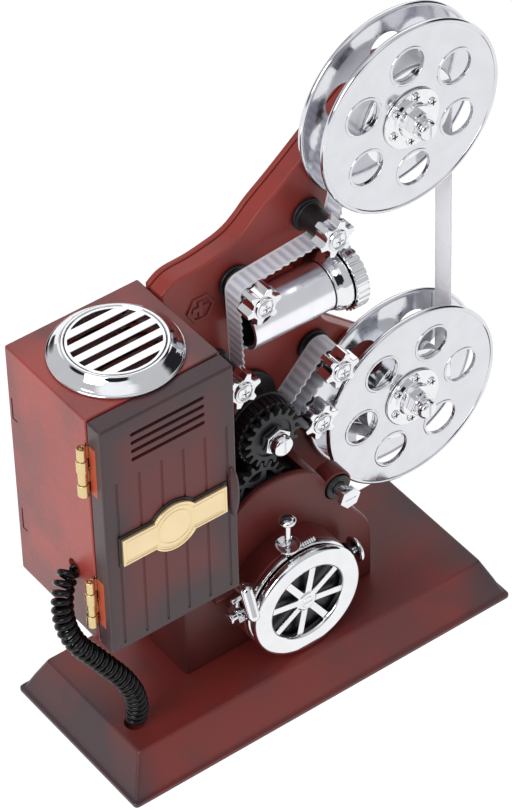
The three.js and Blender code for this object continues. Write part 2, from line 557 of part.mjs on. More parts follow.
put('start_pin', latheZ([
  [0, 60.4], [0.65, 60.4], [0.65, 65.2], [1.05, 65.2], [1.05, 73.8],
  [2, 74.4], [3, 75.6], [3, 76.4], [2.2, 77.1], [0, 77.3],
], pin.x, pin.y, 20), chrome);
put('button_collar', latheX([[1.5, 22.7], [3.6, 22.7], [3.9, 23.1], [3.9, 23.6], [3.2, 24], [1.5, 24]],
  button.y, button.z, 24), black);
put('side_button', latheX([
  [0, 20], [1.35, 20], [1.35, 25.6], [4.2, 25.6], [4.9, 26.1], [4.9, 26.8], [3.8, 27.5], [0, 27.8],
], button.y, button.z, 24), chrome);

// A short leaning pipe on the housing's left, with an elbow to the wheel's boss and a small valve below it.
const rod = (from, to, r) => {
  const [a, b] = [new THREE.Vector3(...from), new THREE.Vector3(...to)];
  const g = new THREE.CylinderGeometry(r, r, a.distanceTo(b), 14).toNonIndexed();
  const along = b.clone().sub(a).normalize();
  g.applyQuaternion(new THREE.Quaternion().setFromUnitVectors(new THREE.Vector3(0, 1, 0), along));
  return toSolid(g.translate(...a.clone().add(b).multiplyScalar(0.5).toArray()));
};
const knob = (centre, r) => toSolid(new THREE.SphereGeometry(r, 12, 8).translate(...centre));
const pipe = { top: [-22.6, -20.5, 56.1], foot: [-23, -24.6, 48], r: 2.2 };
const elbow = [-22.5, -14.5, 54];
const bossTouch = [-18.1, -14.5, 51.1];
const nut = [-23.2, -15.8, 41.4];
put('side_pipe', join(
  rod(pipe.top, pipe.foot, pipe.r), knob(pipe.top, pipe.r), knob(pipe.foot, pipe.r),
  rod([-22.5, -20, 54.6], elbow, 1.5), knob(elbow, 1.5), rod(elbow, bossTouch, 1.4),
  rod(nut, pipe.foot, 1),
  toSolid(new THREE.CylinderGeometry(3.7, 3.7, 3.2, 6).rotateZ(-Math.PI / 2).translate(...nut)),
  cylX(1.5, -26.2, -24, nut[1], nut[2], 12), cylX(2.1, -26.9, -26, nut[1], nut[2], 12),
), chrome);
put('valve_handle', join(
  cylZ(0.9, 45.3, 49, nut[0], nut[1], 12), cylX(1, -25.6, -21.2, nut[1], 48.6, 12),
), chrome);

// ---------- hexagonal guide stud ----------
put('guide_stud', join(
  plate(moved(hexagon(4.2, 8), ...HEX_STUD), -16, -13.6), cylY(2.3, -13.8, -6.8, ...HEX_STUD, 20),
), chrome);
put('guide_ring', latheY([[2.5, -9.2], [4.5, -9.2], [4.8, -8.9], [4.8, -6.7], [2.5, -6.7]], ...HEX_STUD, 28), black);

// ---------- clockwork inside the lower housing ----------
const barrelSpot = [key.x, key.z];
const cylinder = { y: 3.6, z: 48, x0: -30, x1: -6, r: 5.4 };
const bearing = (x) => box(x, x + 1.4, 1, 11.4, cylinder.z - 2.6, cylinder.z + 2.6);
put('movement_bedplate', cut(
  join(box(-34, 25, 11.2, 13.6, 20, 57), bearing(-32.8), bearing(-4.6)),
  cylY(2.2, 10, 15, ...barrelSpot, 20),
  cylX(1.3, -36, 0, cylinder.y, cylinder.z, 14),
), brass);
put('spring_barrel', cut(
  join(cylY(11, 0.5, 10.4, 0, 0, 36), plate(starOutline(18, 11, 12), 8.6, 10.4)),
  cylY(2.2, 0, 12, 0, 0, 20),
), brass, [key.x, 0, key.z]);
put('winding_key', join(
  cylY(1.9, 1, 29, 0, 0, 20), cylY(3.4, 24.2, 27, 0, 0, 24),
  box(-9.5, 9.5, 28, 30, -3.6, 3.6),
), steel, [key.x, 0, key.z]);
put('pin_cylinder', join(
  cylX(cylinder.r, cylinder.x0, cylinder.x1, cylinder.y, cylinder.z, 28),
  cylX(1.1, cylinder.x0 - 3, cylinder.x1 + 3, cylinder.y, cylinder.z, 14),
), brass);
const tines = Array.from({ length: 17 }, (_, i) => {
  const x = cylinder.x0 + 1.9 + i * 1.3;
  return box(x, x + 0.5, 2.9, 4.3, 28, cylinder.z - cylinder.r - 0.6);
});
put('music_comb', join(
  cut(box(cylinder.x0 + 0.6, cylinder.x1 - 0.6, 2.9, 4.3, 22, cylinder.z - cylinder.r - 0.6), tines),
  box(cylinder.x0 + 0.6, cylinder.x1 - 0.6, 4.2, 11.05, 22, 27.6),
), steel);

// ---------- curly cord, as its outer envelope ----------
const cordRoute = [
  [-78.3, -5, 90], [-80.9, -5.2, 89.4], [-84.1, -6.5, 86.2], [-86.3, -8.2, 81.6], [-87.3, -9.8, 76.4],
  [-86.9, -11.6, 70.4], [-84.7, -13.4, 64.4], [-80.5, -15, 58], [-75.4, -16.2, 50.2], [-70.5, -17, 42],
  [-66.8, -17, 33], [-65.3, -16.2, 24.6], [-65.8, -14.8, 16.9],
];
const cordCurve = new THREE.CatmullRomCurve3(cordRoute.map((p) => new THREE.Vector3(...p)), false, 'centripetal');
const cordSection = new THREE.Shape(ring(CORD_R, 8).map(([a, b]) => new THREE.Vector2(a, b)));
const cordSweep = { steps: 26, bevelEnabled: false, extrudePath: cordCurve };
put('curly_cord', new THREE.ExtrudeGeometry(cordSection, cordSweep), black);

export default projector;
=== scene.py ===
"""Looks for the decorative film projector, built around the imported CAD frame.
Shapes are written in millimetres in the frame's own axes and stored in metres."""
import json
import math

import bmesh
import bpy
from mathutils import Matrix, Vector
from mathutils.geometry import tessellate_polygon


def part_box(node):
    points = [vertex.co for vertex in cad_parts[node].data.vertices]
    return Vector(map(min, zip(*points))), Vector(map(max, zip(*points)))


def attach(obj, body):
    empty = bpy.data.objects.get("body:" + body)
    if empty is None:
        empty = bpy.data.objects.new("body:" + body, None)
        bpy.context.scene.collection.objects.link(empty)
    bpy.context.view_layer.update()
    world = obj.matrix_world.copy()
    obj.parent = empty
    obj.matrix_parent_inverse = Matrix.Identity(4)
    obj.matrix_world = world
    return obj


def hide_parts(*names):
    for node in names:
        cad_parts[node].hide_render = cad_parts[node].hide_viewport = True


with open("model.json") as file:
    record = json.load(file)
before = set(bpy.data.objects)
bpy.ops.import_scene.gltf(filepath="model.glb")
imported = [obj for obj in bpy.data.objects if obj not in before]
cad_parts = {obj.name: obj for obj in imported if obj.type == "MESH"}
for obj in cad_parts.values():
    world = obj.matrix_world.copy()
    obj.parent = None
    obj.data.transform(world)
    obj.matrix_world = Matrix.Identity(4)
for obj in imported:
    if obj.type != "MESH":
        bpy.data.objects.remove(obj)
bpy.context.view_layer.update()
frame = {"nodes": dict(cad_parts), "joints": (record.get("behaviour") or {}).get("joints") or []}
MM = 0.001
FIXED = "frame_body"
PIVOT = {j["name"]: Vector(j["pos_m"]) / MM for j in frame["joints"] if "pos_m" in j}


def placed(name, data):
    """A new object in the scene."""
    obj = bpy.data.objects.new(name, data)
    bpy.context.scene.collection.objects.link(obj)
    return obj


def corners(node):
    """Lowest and highest corner of a CAD node, in millimetres."""
    low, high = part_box(node)
    return Vector(low) / MM, Vector(high) / MM


# ---------------- camera
AZIMUTH, ELEVATION, ROLL = -0.6245, 0.749, -0.027
TARGET = Vector((-1.87, 0.0, 112.4)) * MM
DISTANCE = 1.3062
LENS_MM = 178.0


def heading_at(azimuth, elevation):
    """The unit vector at these angles in radians, azimuth 0 being the front."""
    level = math.cos(elevation)
    return Vector((math.sin(azimuth) * level, -math.cos(azimuth) * level, math.sin(elevation)))


def add_camera():
    """The camera, looking at TARGET."""
    back = heading_at(AZIMUTH, ELEVATION)
    right = (-back).cross(Vector((0, 0, 1))).normalized()
    up = right.cross(-back)
    side = right * math.cos(ROLL) + up * math.sin(ROLL)
    top = up * math.cos(ROLL) - right * math.sin(ROLL)
    camera = placed("camera", bpy.data.cameras.new("camera"))
    camera.data.lens = LENS_MM
    camera.data.clip_end = 20
    turn = Matrix((side, top, back)).transposed().to_4x4()
    camera.matrix_world = Matrix.Translation(TARGET + back * DISTANCE) @ turn
    bpy.context.scene.camera = camera


add_camera()


# ---------------- materials
class Surface:
    """The nodes of one material or of the world."""

    def __init__(self, owner):
        owner.use_nodes = True
        self.owner, self.nodes, self.links = owner, owner.node_tree.nodes, owner.node_tree.links

    def add(self, kind, *sources):
        """A new node with its first inputs linked to the sources."""
        node = self.nodes.new(f"ShaderNode{kind}")
        for i, source in enumerate(sources):
            self.links.new(source, node.inputs[i])
        return node

    def feed(self, socket, source):
        self.links.new(source, self.nodes["Principled BSDF"].inputs[socket])

    def noise(self, scale, detail=3.0):
        """Noise with scale in cells per metre."""
        node = self.add("TexNoise", self.add("TexCoord").outputs["Object"])
        node.inputs["Scale"].default_value = scale
        node.inputs["Detail"].default_value = detail
        return node.outputs["Fac"]

    def ranged(self, value, low, high, to_low, to_high):
        """value eased from low..high to to_low..to_high."""
        node = self.add("MapRange", value)
        node.interpolation_type = "SMOOTHSTEP"
        for socket, number in zip(("From Min", "From Max", "To Min", "To Max"), (low, high, to_low, to_high)):
            node.inputs[socket].default_value = number
        return node.outputs["Result"]

    def bump(self, height, strength, distance):
        node = self.add("Bump")
        node.inputs["Strength"].default_value = strength
        node.inputs["Distance"].default_value = distance
        self.links.new(height, node.inputs["Height"])
        self.feed("Normal", node.outputs["Normal"])

    def blended(self, factor, first, second):
        """A colour mixed from first to second (each a colour or a socket) by factor."""
        node = self.add("Mix")
        node.data_type = "RGBA"
        self.links.new(factor, node.inputs["Factor"])
        for socket, colour in zip((node.inputs[6], node.inputs[7]), (first, second)):
            if hasattr(colour, "links"):
                self.links.new(colour, socket)
            else:
                socket.default_value = (*colour, 1)
        return node.outputs[2]

    def combined(self, operation, first, second):
        """Two numbers put together by a math operation, or the second alone where there is no first."""
        if first is None:
            return second
        node = self.add("Math", first, second)
        node.operation = operation
        node.use_clamp = True
        return node.outputs[0]


def surface(name, **values):
    """A new Principled material, with uniform values on the shader's own sockets."""
    out = Surface(bpy.data.materials.new(name))
    for socket, value in values.items():
        out.nodes["Principled BSDF"].inputs[socket.replace("_", " ")].default_value = value
    return out


def sprayed(name, colour, dark, fades=(), roughness=0.36, sheen=0.36):
    """Satin moulded plastic with a darker mist sprayed along some edges and in faint clouds.
    A fade is (axis, place in mm, reach in mm, amount): strongest at the place, gone after the reach."""
    out = surface(name, Specular_IOR_Level=sheen)
    split = out.add("SeparateXYZ", out.add("TexCoord").outputs["Object"])
    mist = None
    for axis, at, reach, amount in fades:
        fade = out.ranged(split.outputs[axis], at * MM, (at + reach) * MM, amount, 0.0)
        mist = out.combined("MAXIMUM", mist, fade)
    mist = out.combined("ADD", mist, out.ranged(out.noise(38.0, 2.0), 0.42, 0.7, 0.0, 0.42))
    out.feed("Base Color", out.blended(mist, colour, dark))
    grain = out.noise(1400.0, 4.0)
    out.feed("Roughness", out.ranged(grain, 0.3, 0.7, roughness - 0.04, roughness + 0.06))
    out.bump(grain, 0.12, 0.00006)
    return out.owner


def plated(name, colour, low, high, wave=0.03, metallic=1.0):
    """Plated or polished metal: roughness runs from low to high, with a faint wave in the surface."""
    out = surface(name, Metallic=metallic)
    out.feed("Roughness", out.ranged(out.noise(900.0, 5.0), 0.35, 0.65, low, high))
    tone = out.ranged(out.noise(120.0), 0.3, 0.7, 0.0, 1.0)
    out.feed("Base Color", out.blended(tone, colour, tuple(c * 0.95 for c in colour)))
    if wave:
        out.bump(out.noise(260.0, 2.0), wave, 0.0004)
    return out.owner


def moulded(name, colour, low, high, grain=0.1, sheen=0.5):
    """Plain moulded plastic with a fine grain."""
    out = surface(name, Specular_IOR_Level=sheen)
    fine = out.noise(1800.0, 4.0)
    out.feed("Roughness", out.ranged(fine, 0.3, 0.7, low, high))
    tone = out.ranged(out.noise(90.0), 0.35, 0.65, 0.0, 1.0)
    out.feed("Base Color", out.blended(tone, colour, tuple(c * 1.6 for c in colour)))
    out.bump(fine, grain, 0.00005)
    return out.owner


def film_material():
    """Clear plastic, with painted shade: a darker blue in the troughs between the film's ribs, near white on
    the rib tops.
    """
    out = surface("film_plastic", IOR=1.25, Transmission_Weight=0.4)
    painted_rib_shade = out.add("Attribute")
    painted_rib_shade.attribute_name = "painted_rib_shade"
    # painted shade of the ribs: the first colour goes in the troughs, the second on the rib tops and borders
    out.feed("Base Color", out.blended(painted_rib_shade.outputs["Fac"], (0.70, 0.73, 0.85), (0.97, 0.97, 1.0)))
    out.feed("Roughness", out.ranged(out.noise(300.0), 0.3, 0.7, 0.16, 0.2))
    return out.owner


def glass_material():
    """The lens's glass."""
    out = surface("lens_glass_clear", IOR=1.5, Transmission_Weight=0.9, Base_Color=(0.75, 0.82, 0.88, 1))
    out.feed("Roughness", out.ranged(out.noise(300.0), 0.3, 0.7, 0.03, 0.06))
    return out.owner


LAMP_LOW, LAMP_HIGH = corners("lamp_house")
DOOR_LOW, DOOR_HIGH = corners("door_panel")
BASE_LOW, BASE_HIGH = corners("base_plinth")
MIST = (0.054, 0.030, 0.035)

BOX_RED = sprayed("box_red", (0.335, 0.044, 0.033), MIST, [
    ("X", LAMP_HIGH.x, -16, 0.55), ("Y", LAMP_HIGH.y, -12, 0.35), ("Z", LAMP_LOW.z, 26, 0.5),
], sheen=0.55)
DOOR_RED = sprayed("door_red", (0.135, 0.024, 0.024), MIST, [
    ("X", DOOR_LOW.x, 14, 0.95), ("X", DOOR_HIGH.x, -14, 0.9),
    ("Z", DOOR_HIGH.z, -20, 0.7), ("Z", DOOR_LOW.z, 26, 0.95),
])
COLUMN_RED = sprayed("column_red", (0.275, 0.036, 0.027), MIST, [("Z", 20, 40, 0.6)])
DOME_RED = sprayed("dome_red", (0.150, 0.022, 0.019), (0.055, 0.012, 0.011), [
    ("Z", BASE_HIGH.z, 36, 0.7), ("X", -40, 22, 0.6), ("X", 40, -10, 0.4),
])
BASE_RED = sprayed("base_red", (0.185, 0.025, 0.020), MIST, [
    ("X", BASE_LOW.x, 16, 0.95), ("X", BASE_HIGH.x, -22, 0.9),
    ("Y", BASE_HIGH.y, -12, 0.5), ("Z", 0, 3.5, 0.55),
])
RAW_RED = sprayed("raw_red", (0.46, 0.075, 0.035), (0.3, 0.05, 0.03), roughness=0.45)
CHROME = plated("chrome", (0.84, 0.845, 0.865), 0.04, 0.08)
REEL_CHROME = plated("reel_chrome", (0.72, 0.725, 0.76), 0.08, 0.13, wave=0.05)
SATIN = plated("satin_chrome", (0.91, 0.91, 0.96), 0.24, 0.25, wave=0)
BRASS = plated("brass", (0.76, 0.59, 0.31), 0.2, 0.34, wave=0.12)
PALE_GOLD = plated("pale_gold", (0.89, 0.71, 0.43), 0.28, 0.36, wave=0.02, metallic=0.85)
STEEL = plated("steel", (0.55, 0.56, 0.58), 0.25, 0.4)
BLACK = moulded("black", (0.006, 0.006, 0.007), 0.32, 0.42)
GEAR_BLACK = moulded("gear_black", (0.018, 0.018, 0.021), 0.44, 0.54)
CORD_BLACK = moulded("cord_black", (0.003, 0.003, 0.004), 0.1, 0.13, grain=0.02, sheen=0.22)
FILM = film_material()
GLASS = glass_material()


# ---------------- outlines, in millimetres
def polar(radius, degrees, centre=(0, 0)):
    t = math.radians(degrees)
    return centre[0] + radius * math.cos(t), centre[1] + radius * math.sin(t)


def circle(radius, n=96, centre=(0, 0), phase=0.0):
    """Points counter-clockwise round a circle, from phase degrees on."""
    return [polar(radius, phase + 360 * i / n, centre) for i in range(n)]


def arc(centre, radius, start, end, n=12):
    """Points along an arc, both ends included; angles in degrees."""
    return [polar(radius, start + (end - start) * i / n, centre) for i in range(n + 1)]


def moved(points, dx, dz):
    """An outline shifted in its plane."""
    return [(x + dx, z + dz) for x, z in points]


def softened(points, reach, steps=4, closed=False):
    """The points with every corner rounded by a curve that starts reach before it."""
    out = []
    for i, point in enumerate(points):
        if not closed and i in (0, len(points) - 1):
            out.append(tuple(point))
            continue
        here, before, after = Vector(point), Vector(points[i - 1]), Vector(points[(i + 1) % len(points)])
        start = here + (before - here) * min(0.5, reach / max((before - here).length, 1e-9))
        end = here + (after - here) * min(0.5, reach / max((after - here).length, 1e-9))
        for k in range(steps + 1):
            t = k / steps
            out.append(tuple(start * (1 - t) ** 2 + here * (2 * t * (1 - t)) + end * t * t))
    return out


def flowing(points, per=6):
    """A smooth run through all the points (Catmull-Rom)."""
    pts = [Vector(p) for p in points]
    pts = [pts[0] * 2 - pts[1], *pts, pts[-1] * 2 - pts[-2]]
    out = []
    for a, b, c, d in zip(pts, pts[1:], pts[2:], pts[3:]):
        for k in range(per):
            t = k / per
            out.append((2 * b + (c - a) * t + (2 * a - 5 * b + 4 * c - d) * t * t
                        + (3 * b - a - 3 * c + d) * t ** 3) / 2)
    out.append(pts[-2])
    return [tuple(p) for p in out]


def inset(points, depth):
    """A counter-clockwise outline drawn in by depth."""
    pts = [Vector(p) for p in points]
    out = []
    for i, here in enumerate(pts):
        first, second = (here - pts[i - 1]).normalized(), (pts[(i + 1) % len(pts)] - here).normalized()
        n1, n2 = Vector((-first.y, first.x)), Vector((-second.y, second.x))
        share = max(0.5, 1 + n1.dot(n2))
        out.append(tuple(here + (n1 + n2) * (depth / share)))
    return out


def plain_ring(inner, outer, low, high):
    """The profile of a turned ring with a rectangular section."""
    return [(inner, low), (outer, low), (outer, high), (inner, high)]


def toothed(teeth, shape, phase):
    """An outline that repeats one tooth, whose shape is (share of the pitch, radius) pairs."""
    return [polar(radius, phase + (i + share) * 360 / teeth) for i in range(teeth) for share, radius in shape]


def star(teeth, root, tip, low=0.32, high=0.13, phase=0.0):
    """A toothed outline: low and high are half the widths at root and tip, as shares of a tooth's pitch."""
    return toothed(teeth, ((-low, root), (-high, tip), (high, tip), (low, root)), phase)


def rectangle(x0, x1, z0, z1, radius=0.5, steps=4):
    """A rectangle with rounded corners."""
    return softened([(x0, z0), (x1, z0), (x1, z1), (x0, z1)], radius, steps, closed=True)


# ---------------- solids, in millimetres
SPOTS = {"X": lambda a, b, h: (h, a, b), "Y": lambda a, b, h: (a, h, b), "Z": lambda a, b, h: (a, b, h)}


def bridged(bm, rings):
    """Joins each ring of vertices to the next with quads."""
    for lower, upper in zip(rings, rings[1:]):
        for i in range(len(lower)):
            j = (i + 1) % len(lower)
            bm.faces.new((lower[i], lower[j], upper[j], upper[i]))


def spun(profile, n=96, axis="Y", at=(0, 0, 0)):
    """A (radius, height) profile turned about an axis. It ends on the axis or closes on itself."""
    bm = bmesh.new()
    rings = []
    for radius, height in profile:
        points = circle(max(radius, 0), n) if radius > 1e-6 else [(0, 0)]
        verts = [bm.verts.new(Vector(SPOTS[axis](a, b, height)) + Vector(at)) for a, b in points]
        rings.append(verts if len(verts) > 1 else verts * n)
    pairs = list(zip(rings, rings[1:]))
    if profile[0][0] > 1e-6 and profile[-1][0] > 1e-6:
        pairs.append((rings[-1], rings[0]))
    for lower, upper in pairs:
        for i in range(n):
            j = (i + 1) % n
            face = list(dict.fromkeys((lower[i], lower[j], upper[j], upper[i])))
            if len(face) > 2:
                bm.faces.new(face)
    return bm


def lathe(profile, reach, n=64, axis="Y", at=(0, 0, 0), steps=4):
    """A turned solid with its corners softened. A profile that starts off the axis closes on itself."""
    return spun(softened(profile, reach, steps, closed=profile[0][0] > 0), n, axis, at)


def slab(outline, y0, y1, holes=(), edge=0.25, steps=3, axis="Y"):
    """A counter-clockwise outline with holes, from y0 to y1 along the axis, with rounded edges."""
    bm = bmesh.new()
    turns = [math.pi / 2 * k / steps for k in range(steps + 1)] if edge else [math.pi / 2]
    levels = [(edge * (1 - math.sin(t)), edge * (1 - math.cos(t))) for t in turns]
    levels = [(d, y0 + h) for d, h in levels] + [(d, y1 - h) for d, h in reversed(levels)]
    ends = []
    for points, sign in [(outline, 1)] + [(h, -1) for h in holes]:
        rings = []
        for depth, height in levels:
            drawn = inset(points, sign * depth) if depth > 1e-6 else points
            rings.append([bm.verts.new(SPOTS[axis](a, b, height)) for a, b in drawn])
        bridged(bm, rings)
        ends.append((rings[0], rings[-1]))
    for side in (0, 1):
        loops = [pair[side] for pair in ends]
        flat = [v for loop in loops for v in loop]
        for face in tessellate_polygon([[v.co for v in loop] for loop in loops]):
            if len({*face}) == 3:
                bm.faces.new([flat[i] for i in face])
    return bm


def block(x0, x1, y0, y1, z0, z1):
    """A box between its lowest and highest coordinates."""
    bm = bmesh.new()
    bmesh.ops.create_cube(bm, size=1)
    bmesh.ops.scale(bm, vec=(x1 - x0, y1 - y0, z1 - z0), verts=bm.verts)
    bmesh.ops.translate(bm, vec=((x0 + x1) / 2, (y0 + y1) / 2, (z0 + z1) / 2), verts=bm.verts)
    return bm


def rod(radius, y0, y1, axis="Y", at=(0, 0, 0), n=32, edge=0.15):
    """A cylinder with softened ends."""
    e = min(edge, radius / 2, (y1 - y0) / 3)
    return lathe([(0, y0), (radius, y0), (radius, y1), (0, y1)], e, n, axis, at, 3)


def ball(radius, at, scale=(1, 1, 1), n=32):
    """A ball, or an ellipsoid where scale says so."""
    bm = bmesh.new()
    bmesh.ops.create_uvsphere(bm, u_segments=n, v_segments=n // 2, radius=radius)
    bmesh.ops.scale(bm, vec=scale, verts=bm.verts)
    bmesh.ops.translate(bm, vec=at, verts=bm.verts)
    return bm


def shifted(bm, x=0, y=0, z=0):
    """The mesh, moved."""
    bmesh.ops.translate(bm, vec=(x, y, z), verts=bm.verts)
    return bm


def rotated(bm, degrees):
    """The mesh, turned about the Y axis."""
    turn = Matrix.Rotation(math.radians(degrees), 3, "Y")
    bmesh.ops.rotate(bm, cent=(0, 0, 0), matrix=turn, verts=bm.verts)
    return bm


def together(*parts):
    """One mesh that holds all the parts."""
    out = bmesh.new()
    for part in parts:
        mesh = bpy.data.meshes.new("part")
        part.to_mesh(mesh)
        out.from_mesh(mesh)
        bpy.data.meshes.remove(mesh)
        part.free()
    return out


def loose_object(bm, name="tool"):
    """An object made from the mesh, with its faces pointing out."""
    bmesh.ops.recalc_face_normals(bm, faces=bm.faces)
    mesh = bpy.data.meshes.new(name)
    bm.to_mesh(mesh)
    bm.free()
    return placed(name, mesh)


def carved(base, tools, operation="DIFFERENCE"):
    """base cut by, or joined with, each of the tools."""
    target = loose_object(base, "target")
    helpers = [loose_object(tool) for tool in tools]
    for helper in helpers:
        modifier = target.modifiers.new("carve", "BOOLEAN")
        modifier.operation = operation
        modifier.solver = "MANIFOLD"
        modifier.object = helper
    bpy.context.view_layer.update()
    mesh = bpy.data.meshes.new_from_object(target.evaluated_get(bpy.context.evaluated_depsgraph_get()))
    out = bmesh.new()
    out.from_mesh(mesh)
    for obj in [target, *helpers]:
        data = obj.data
        bpy.data.objects.remove(obj)
        bpy.data.meshes.remove(data)
    bpy.data.meshes.remove(mesh)
    return out


def piece(name, bm, body, finish, replaces=(), sharp=34):
    """A finished piece from a mesh in millimetres."""
    bmesh.ops.remove_doubles(bm, verts=bm.verts, dist=1e-4)
    obj = loose_object(bm, name)
    mesh = obj.data
    mesh.transform(Matrix.Scale(MM, 4))
    mesh.shade_smooth()
    mesh.set_sharp_from_angle(angle=math.radians(sharp))
    weighted = obj.modifiers.new("flat_faces", "WEIGHTED_NORMAL")
    weighted.keep_sharp = True
    mesh.materials.append(finish)
    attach(obj, body)
    if replaces:
        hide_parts(*replaces)
    return obj


# ---------------- curly cord
CORD_ROUTE = [
    (-78.3, -5, 90), (-80.9, -5.2, 89.4), (-84.1, -6.5, 86.2), (-86.3, -8.2, 81.6), (-87.3, -9.8, 76.4),
    (-86.9, -11.6, 70.4), (-84.7, -13.4, 64.4), (-80.5, -15, 58), (-75.4, -16.2, 50.2), (-70.5, -17, 42),
    (-66.8, -17, 33), (-65.3, -16.2, 24.6), (-65.8, -14.8, 16.9),
]
WIRE = 2.1                 # cable diameter
COIL = 2.83                # radius at the middle of the cable
PITCH = 2.75               # from one turn to the next
LOOSER = 0.5               # added to the pitch at the top, gone after LOOSE_SHARE of the way down
LOOSE_SHARE = 0.2
LEADS = (3.4, 2.8)         # lengths over which the coil opens at its two ends
LEAD_PITCH = 7.0           # added to the pitch where the coil is still closed
TURN_POINTS = 16


def along(points, step):
    """The polyline's points at even steps, with its whole length."""
    pts = [Vector(p) for p in points]
    out, gone, total = [pts[0]], 0.0, 0.0
    for a, b in zip(pts, pts[1:]):
        length = (b - a).length
        at = step - gone
        while at <= length:
            out.append(a.lerp(b, at / length))
            at += step
        gone = (gone + length) % step
        total += length
    return out, total


def eased(value):
    """A smooth rise from 0 to 1."""
    t = min(1.0, max(0.0, value))
    return t * t * (3 - 2 * t)


def add_cord():
    """The cable as one helix round the cord's route."""
    step = 0.1
    line, _ = along(flowing(CORD_ROUTE, 12), step)
    side = Vector((0, 1, 0))
    angle = 0.0
    coils = []
    for i, point in enumerate(line[1:-1], 1):
        heading = (line[i + 1] - line[i - 1]).normalized()
        side = (side - heading * side.dot(heading)).normalized()
        other = heading.cross(side)
        opened = eased(i * step / LEADS[0]) * eased((len(line) - 1 - i) * step / LEADS[1])
        loose = LOOSER * max(0.0, 1 - i / (LOOSE_SHARE * len(line)))
        angle += 2 * math.pi * step / (PITCH + loose + LEAD_PITCH * (1 - opened))
        reach = COIL * opened
        coils.append((angle, point + side * (reach * math.cos(angle)) + other * (reach * math.sin(angle))))
    points, due = [line[0]], 2 * math.pi / TURN_POINTS
    for angle, point in coils:
        if angle >= due:
            points.append(point)
            due += 2 * math.pi / TURN_POINTS
    points[-1] = line[-1]
    curve = bpy.data.curves.new("curly_cord_cable", "CURVE")
    curve.dimensions = "3D"
    curve.bevel_depth = WIRE / 2 * MM
    curve.bevel_resolution = 3
    curve.use_fill_caps = True
    spline = curve.splines.new("POLY")
    spline.points.add(len(points) - 1)
    for target, point in zip(spline.points, points):
        target.co = (*(point * MM), 1)
    curve.materials.append(CORD_BLACK)
    obj = placed("curly_cord_cable", curve)
    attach(obj, FIXED)
    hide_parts("curly_cord")


add_cord()


# ---------------- base
PLINTH = [                 # half length, half depth, height
    (76.2, 30.7, 1.8), (76.2, 30.7, 0), (79.8, 34.25, 0), (80, 34.45, 0.2), (80, 34.45, 1.4),
    (79.75, 34.2, 1.75), (79.1, 33.5, 1.85), (78.75, 33.1, 2.1), (76.2, 30.6, 8.2), (72.9, 27.15, 15.6),
    (72.6, 26.8, 16.0), (72.2, 26.4, 16.22), (71.6, 25.8, 16.3),
]


def lofted(levels, radius=1.6):
    """A closed solid through rounded rectangles, each (half x, half y, z)."""
    bm = bmesh.new()
    rings = []
    for hx, hy, z in levels:
        rings.append([bm.verts.new((x, y, z)) for x, y in rectangle(-hx, hx, -hy, hy, radius)])
    bridged(bm, rings)
    bm.faces.new(rings[0])
    bm.faces.new(rings[-1])
    return bm


def add_base():
    """The sloped plinth with the hole that the cord goes down."""
    x, y, _ = CORD_ROUTE[-1]
    hole = spun([(0, 12.5), (3.4, 12.5), (3.4, 15.9), (3.9, 17), (0, 17)], 48, "Z", (x, y, 0))
    piece("plinth_shell", carved(lofted(PLINTH), [hole]), FIXED, BASE_RED, ["base_plinth"])


# ---------------- lower housing
UPPER = (PIVOT["upper_reel_spin"].x, PIVOT["upper_reel_spin"].z)
LOWER = (PIVOT["lower_reel_spin"].x, PIVOT["lower_reel_spin"].z)
WHEEL = PIVOT["spoked_wheel_spin"]
STUD = (24.6, 66.6)
HOUSING_Y = (-8.4, 14.1)
HOUSING_WALL = 2.0
BUTTON = (-15.6, 41.6)     # y, z of the side button's axis


def add_lower_housing():
    """The domed shell with the wheel's boss, the stud's recess and a small side peg."""
    front, back = HOUSING_Y
    shoulder = [(39.2, 36), (38.2, 41.9), (35.6, 46.9), (32, 51.9), (27.6, 59), (23.4, 66), (19.6, 72.6),
                (16.6, 77), (11, 81.2), (5, 83.4), (-1.9, 84.2), (-8.8, 83.2), (-15.8, 79.4), (-21.5, 75.2),
                (-27, 69.8)]
    room = [(-37.5, 10), (37.2, 10), (37.2, 36), (33.9, 45.8), (30.2, 51), (25.8, 58), (21.6, 65),
            (17.6, 71.4), (14, 75.4), (9, 78.9), (3, 81), (-3, 81.8), (-9, 80.9), (-15, 77.2), (-22, 71.8),
            (-25, 66.5), (-25, 61.9), (-37.5, 61.9)]
    outline = [(-39.5, 16.45), (39.2, 16.45), *flowing(shoulder, 3), (-27, 64), (-39.5, 64)]
    boss = [(0, -8), (22, -8), (22, -17.3), (19, -17.3), (18.6, -19.4), (0, -19.4)]
    stud_at = (STUD[0], 0, STUD[1])
    recess = [(0, front - 1), (5.6, front - 1), (5.1, front + 0.3), (5.1, -6.4), (0, -6.4)]
    additions = [
        lathe(boss, 0.8, 128, "Y", (WHEEL.x, 0, WHEEL.z)),
        rod(6, front, -1.2, "Y", stud_at, 64, 0.6),
        rod(1.6, -28.3, -18, "X", (0, -9.8, 46.5), 32, 0.5),
    ]
    cutters = [
        slab(room, front + HOUSING_WALL, back + 1, edge=0),
        block(-22.2, 12.2, front + HOUSING_WALL, back + 1, 60, 90),
        spun(recess, 64, "Y", stud_at),
        rod(1.6, 14, 30, "X", (0, *BUTTON), 24),
        rod(2.1, -22, -9, "Y", (WHEEL.x, 0, WHEEL.z), 32),
    ]
    solid = carved(slab(outline, front, back, edge=1.0, steps=4), additions, "UNION")
    piece("lower_housing_shell", carved(solid, cutters), FIXED, DOME_RED, ["lower_housing"])


# ---------------- column
COLUMN_Y = (14.4, 21.2, 21.35, 23.6)   # front cover, then the back cover
LOBE = 13                  # radius of the column about a reel's shaft
MARK = (-12.5, 150.8)      # middle of the raised hexagon
BACK_SCREWS = [(-32, 24), (32, 24), (-20, 158), (30, 150), (60, 205), (62, 76)]
KEY = (PIVOT["winding_key_turn"].x, PIVOT["winding_key_turn"].z)


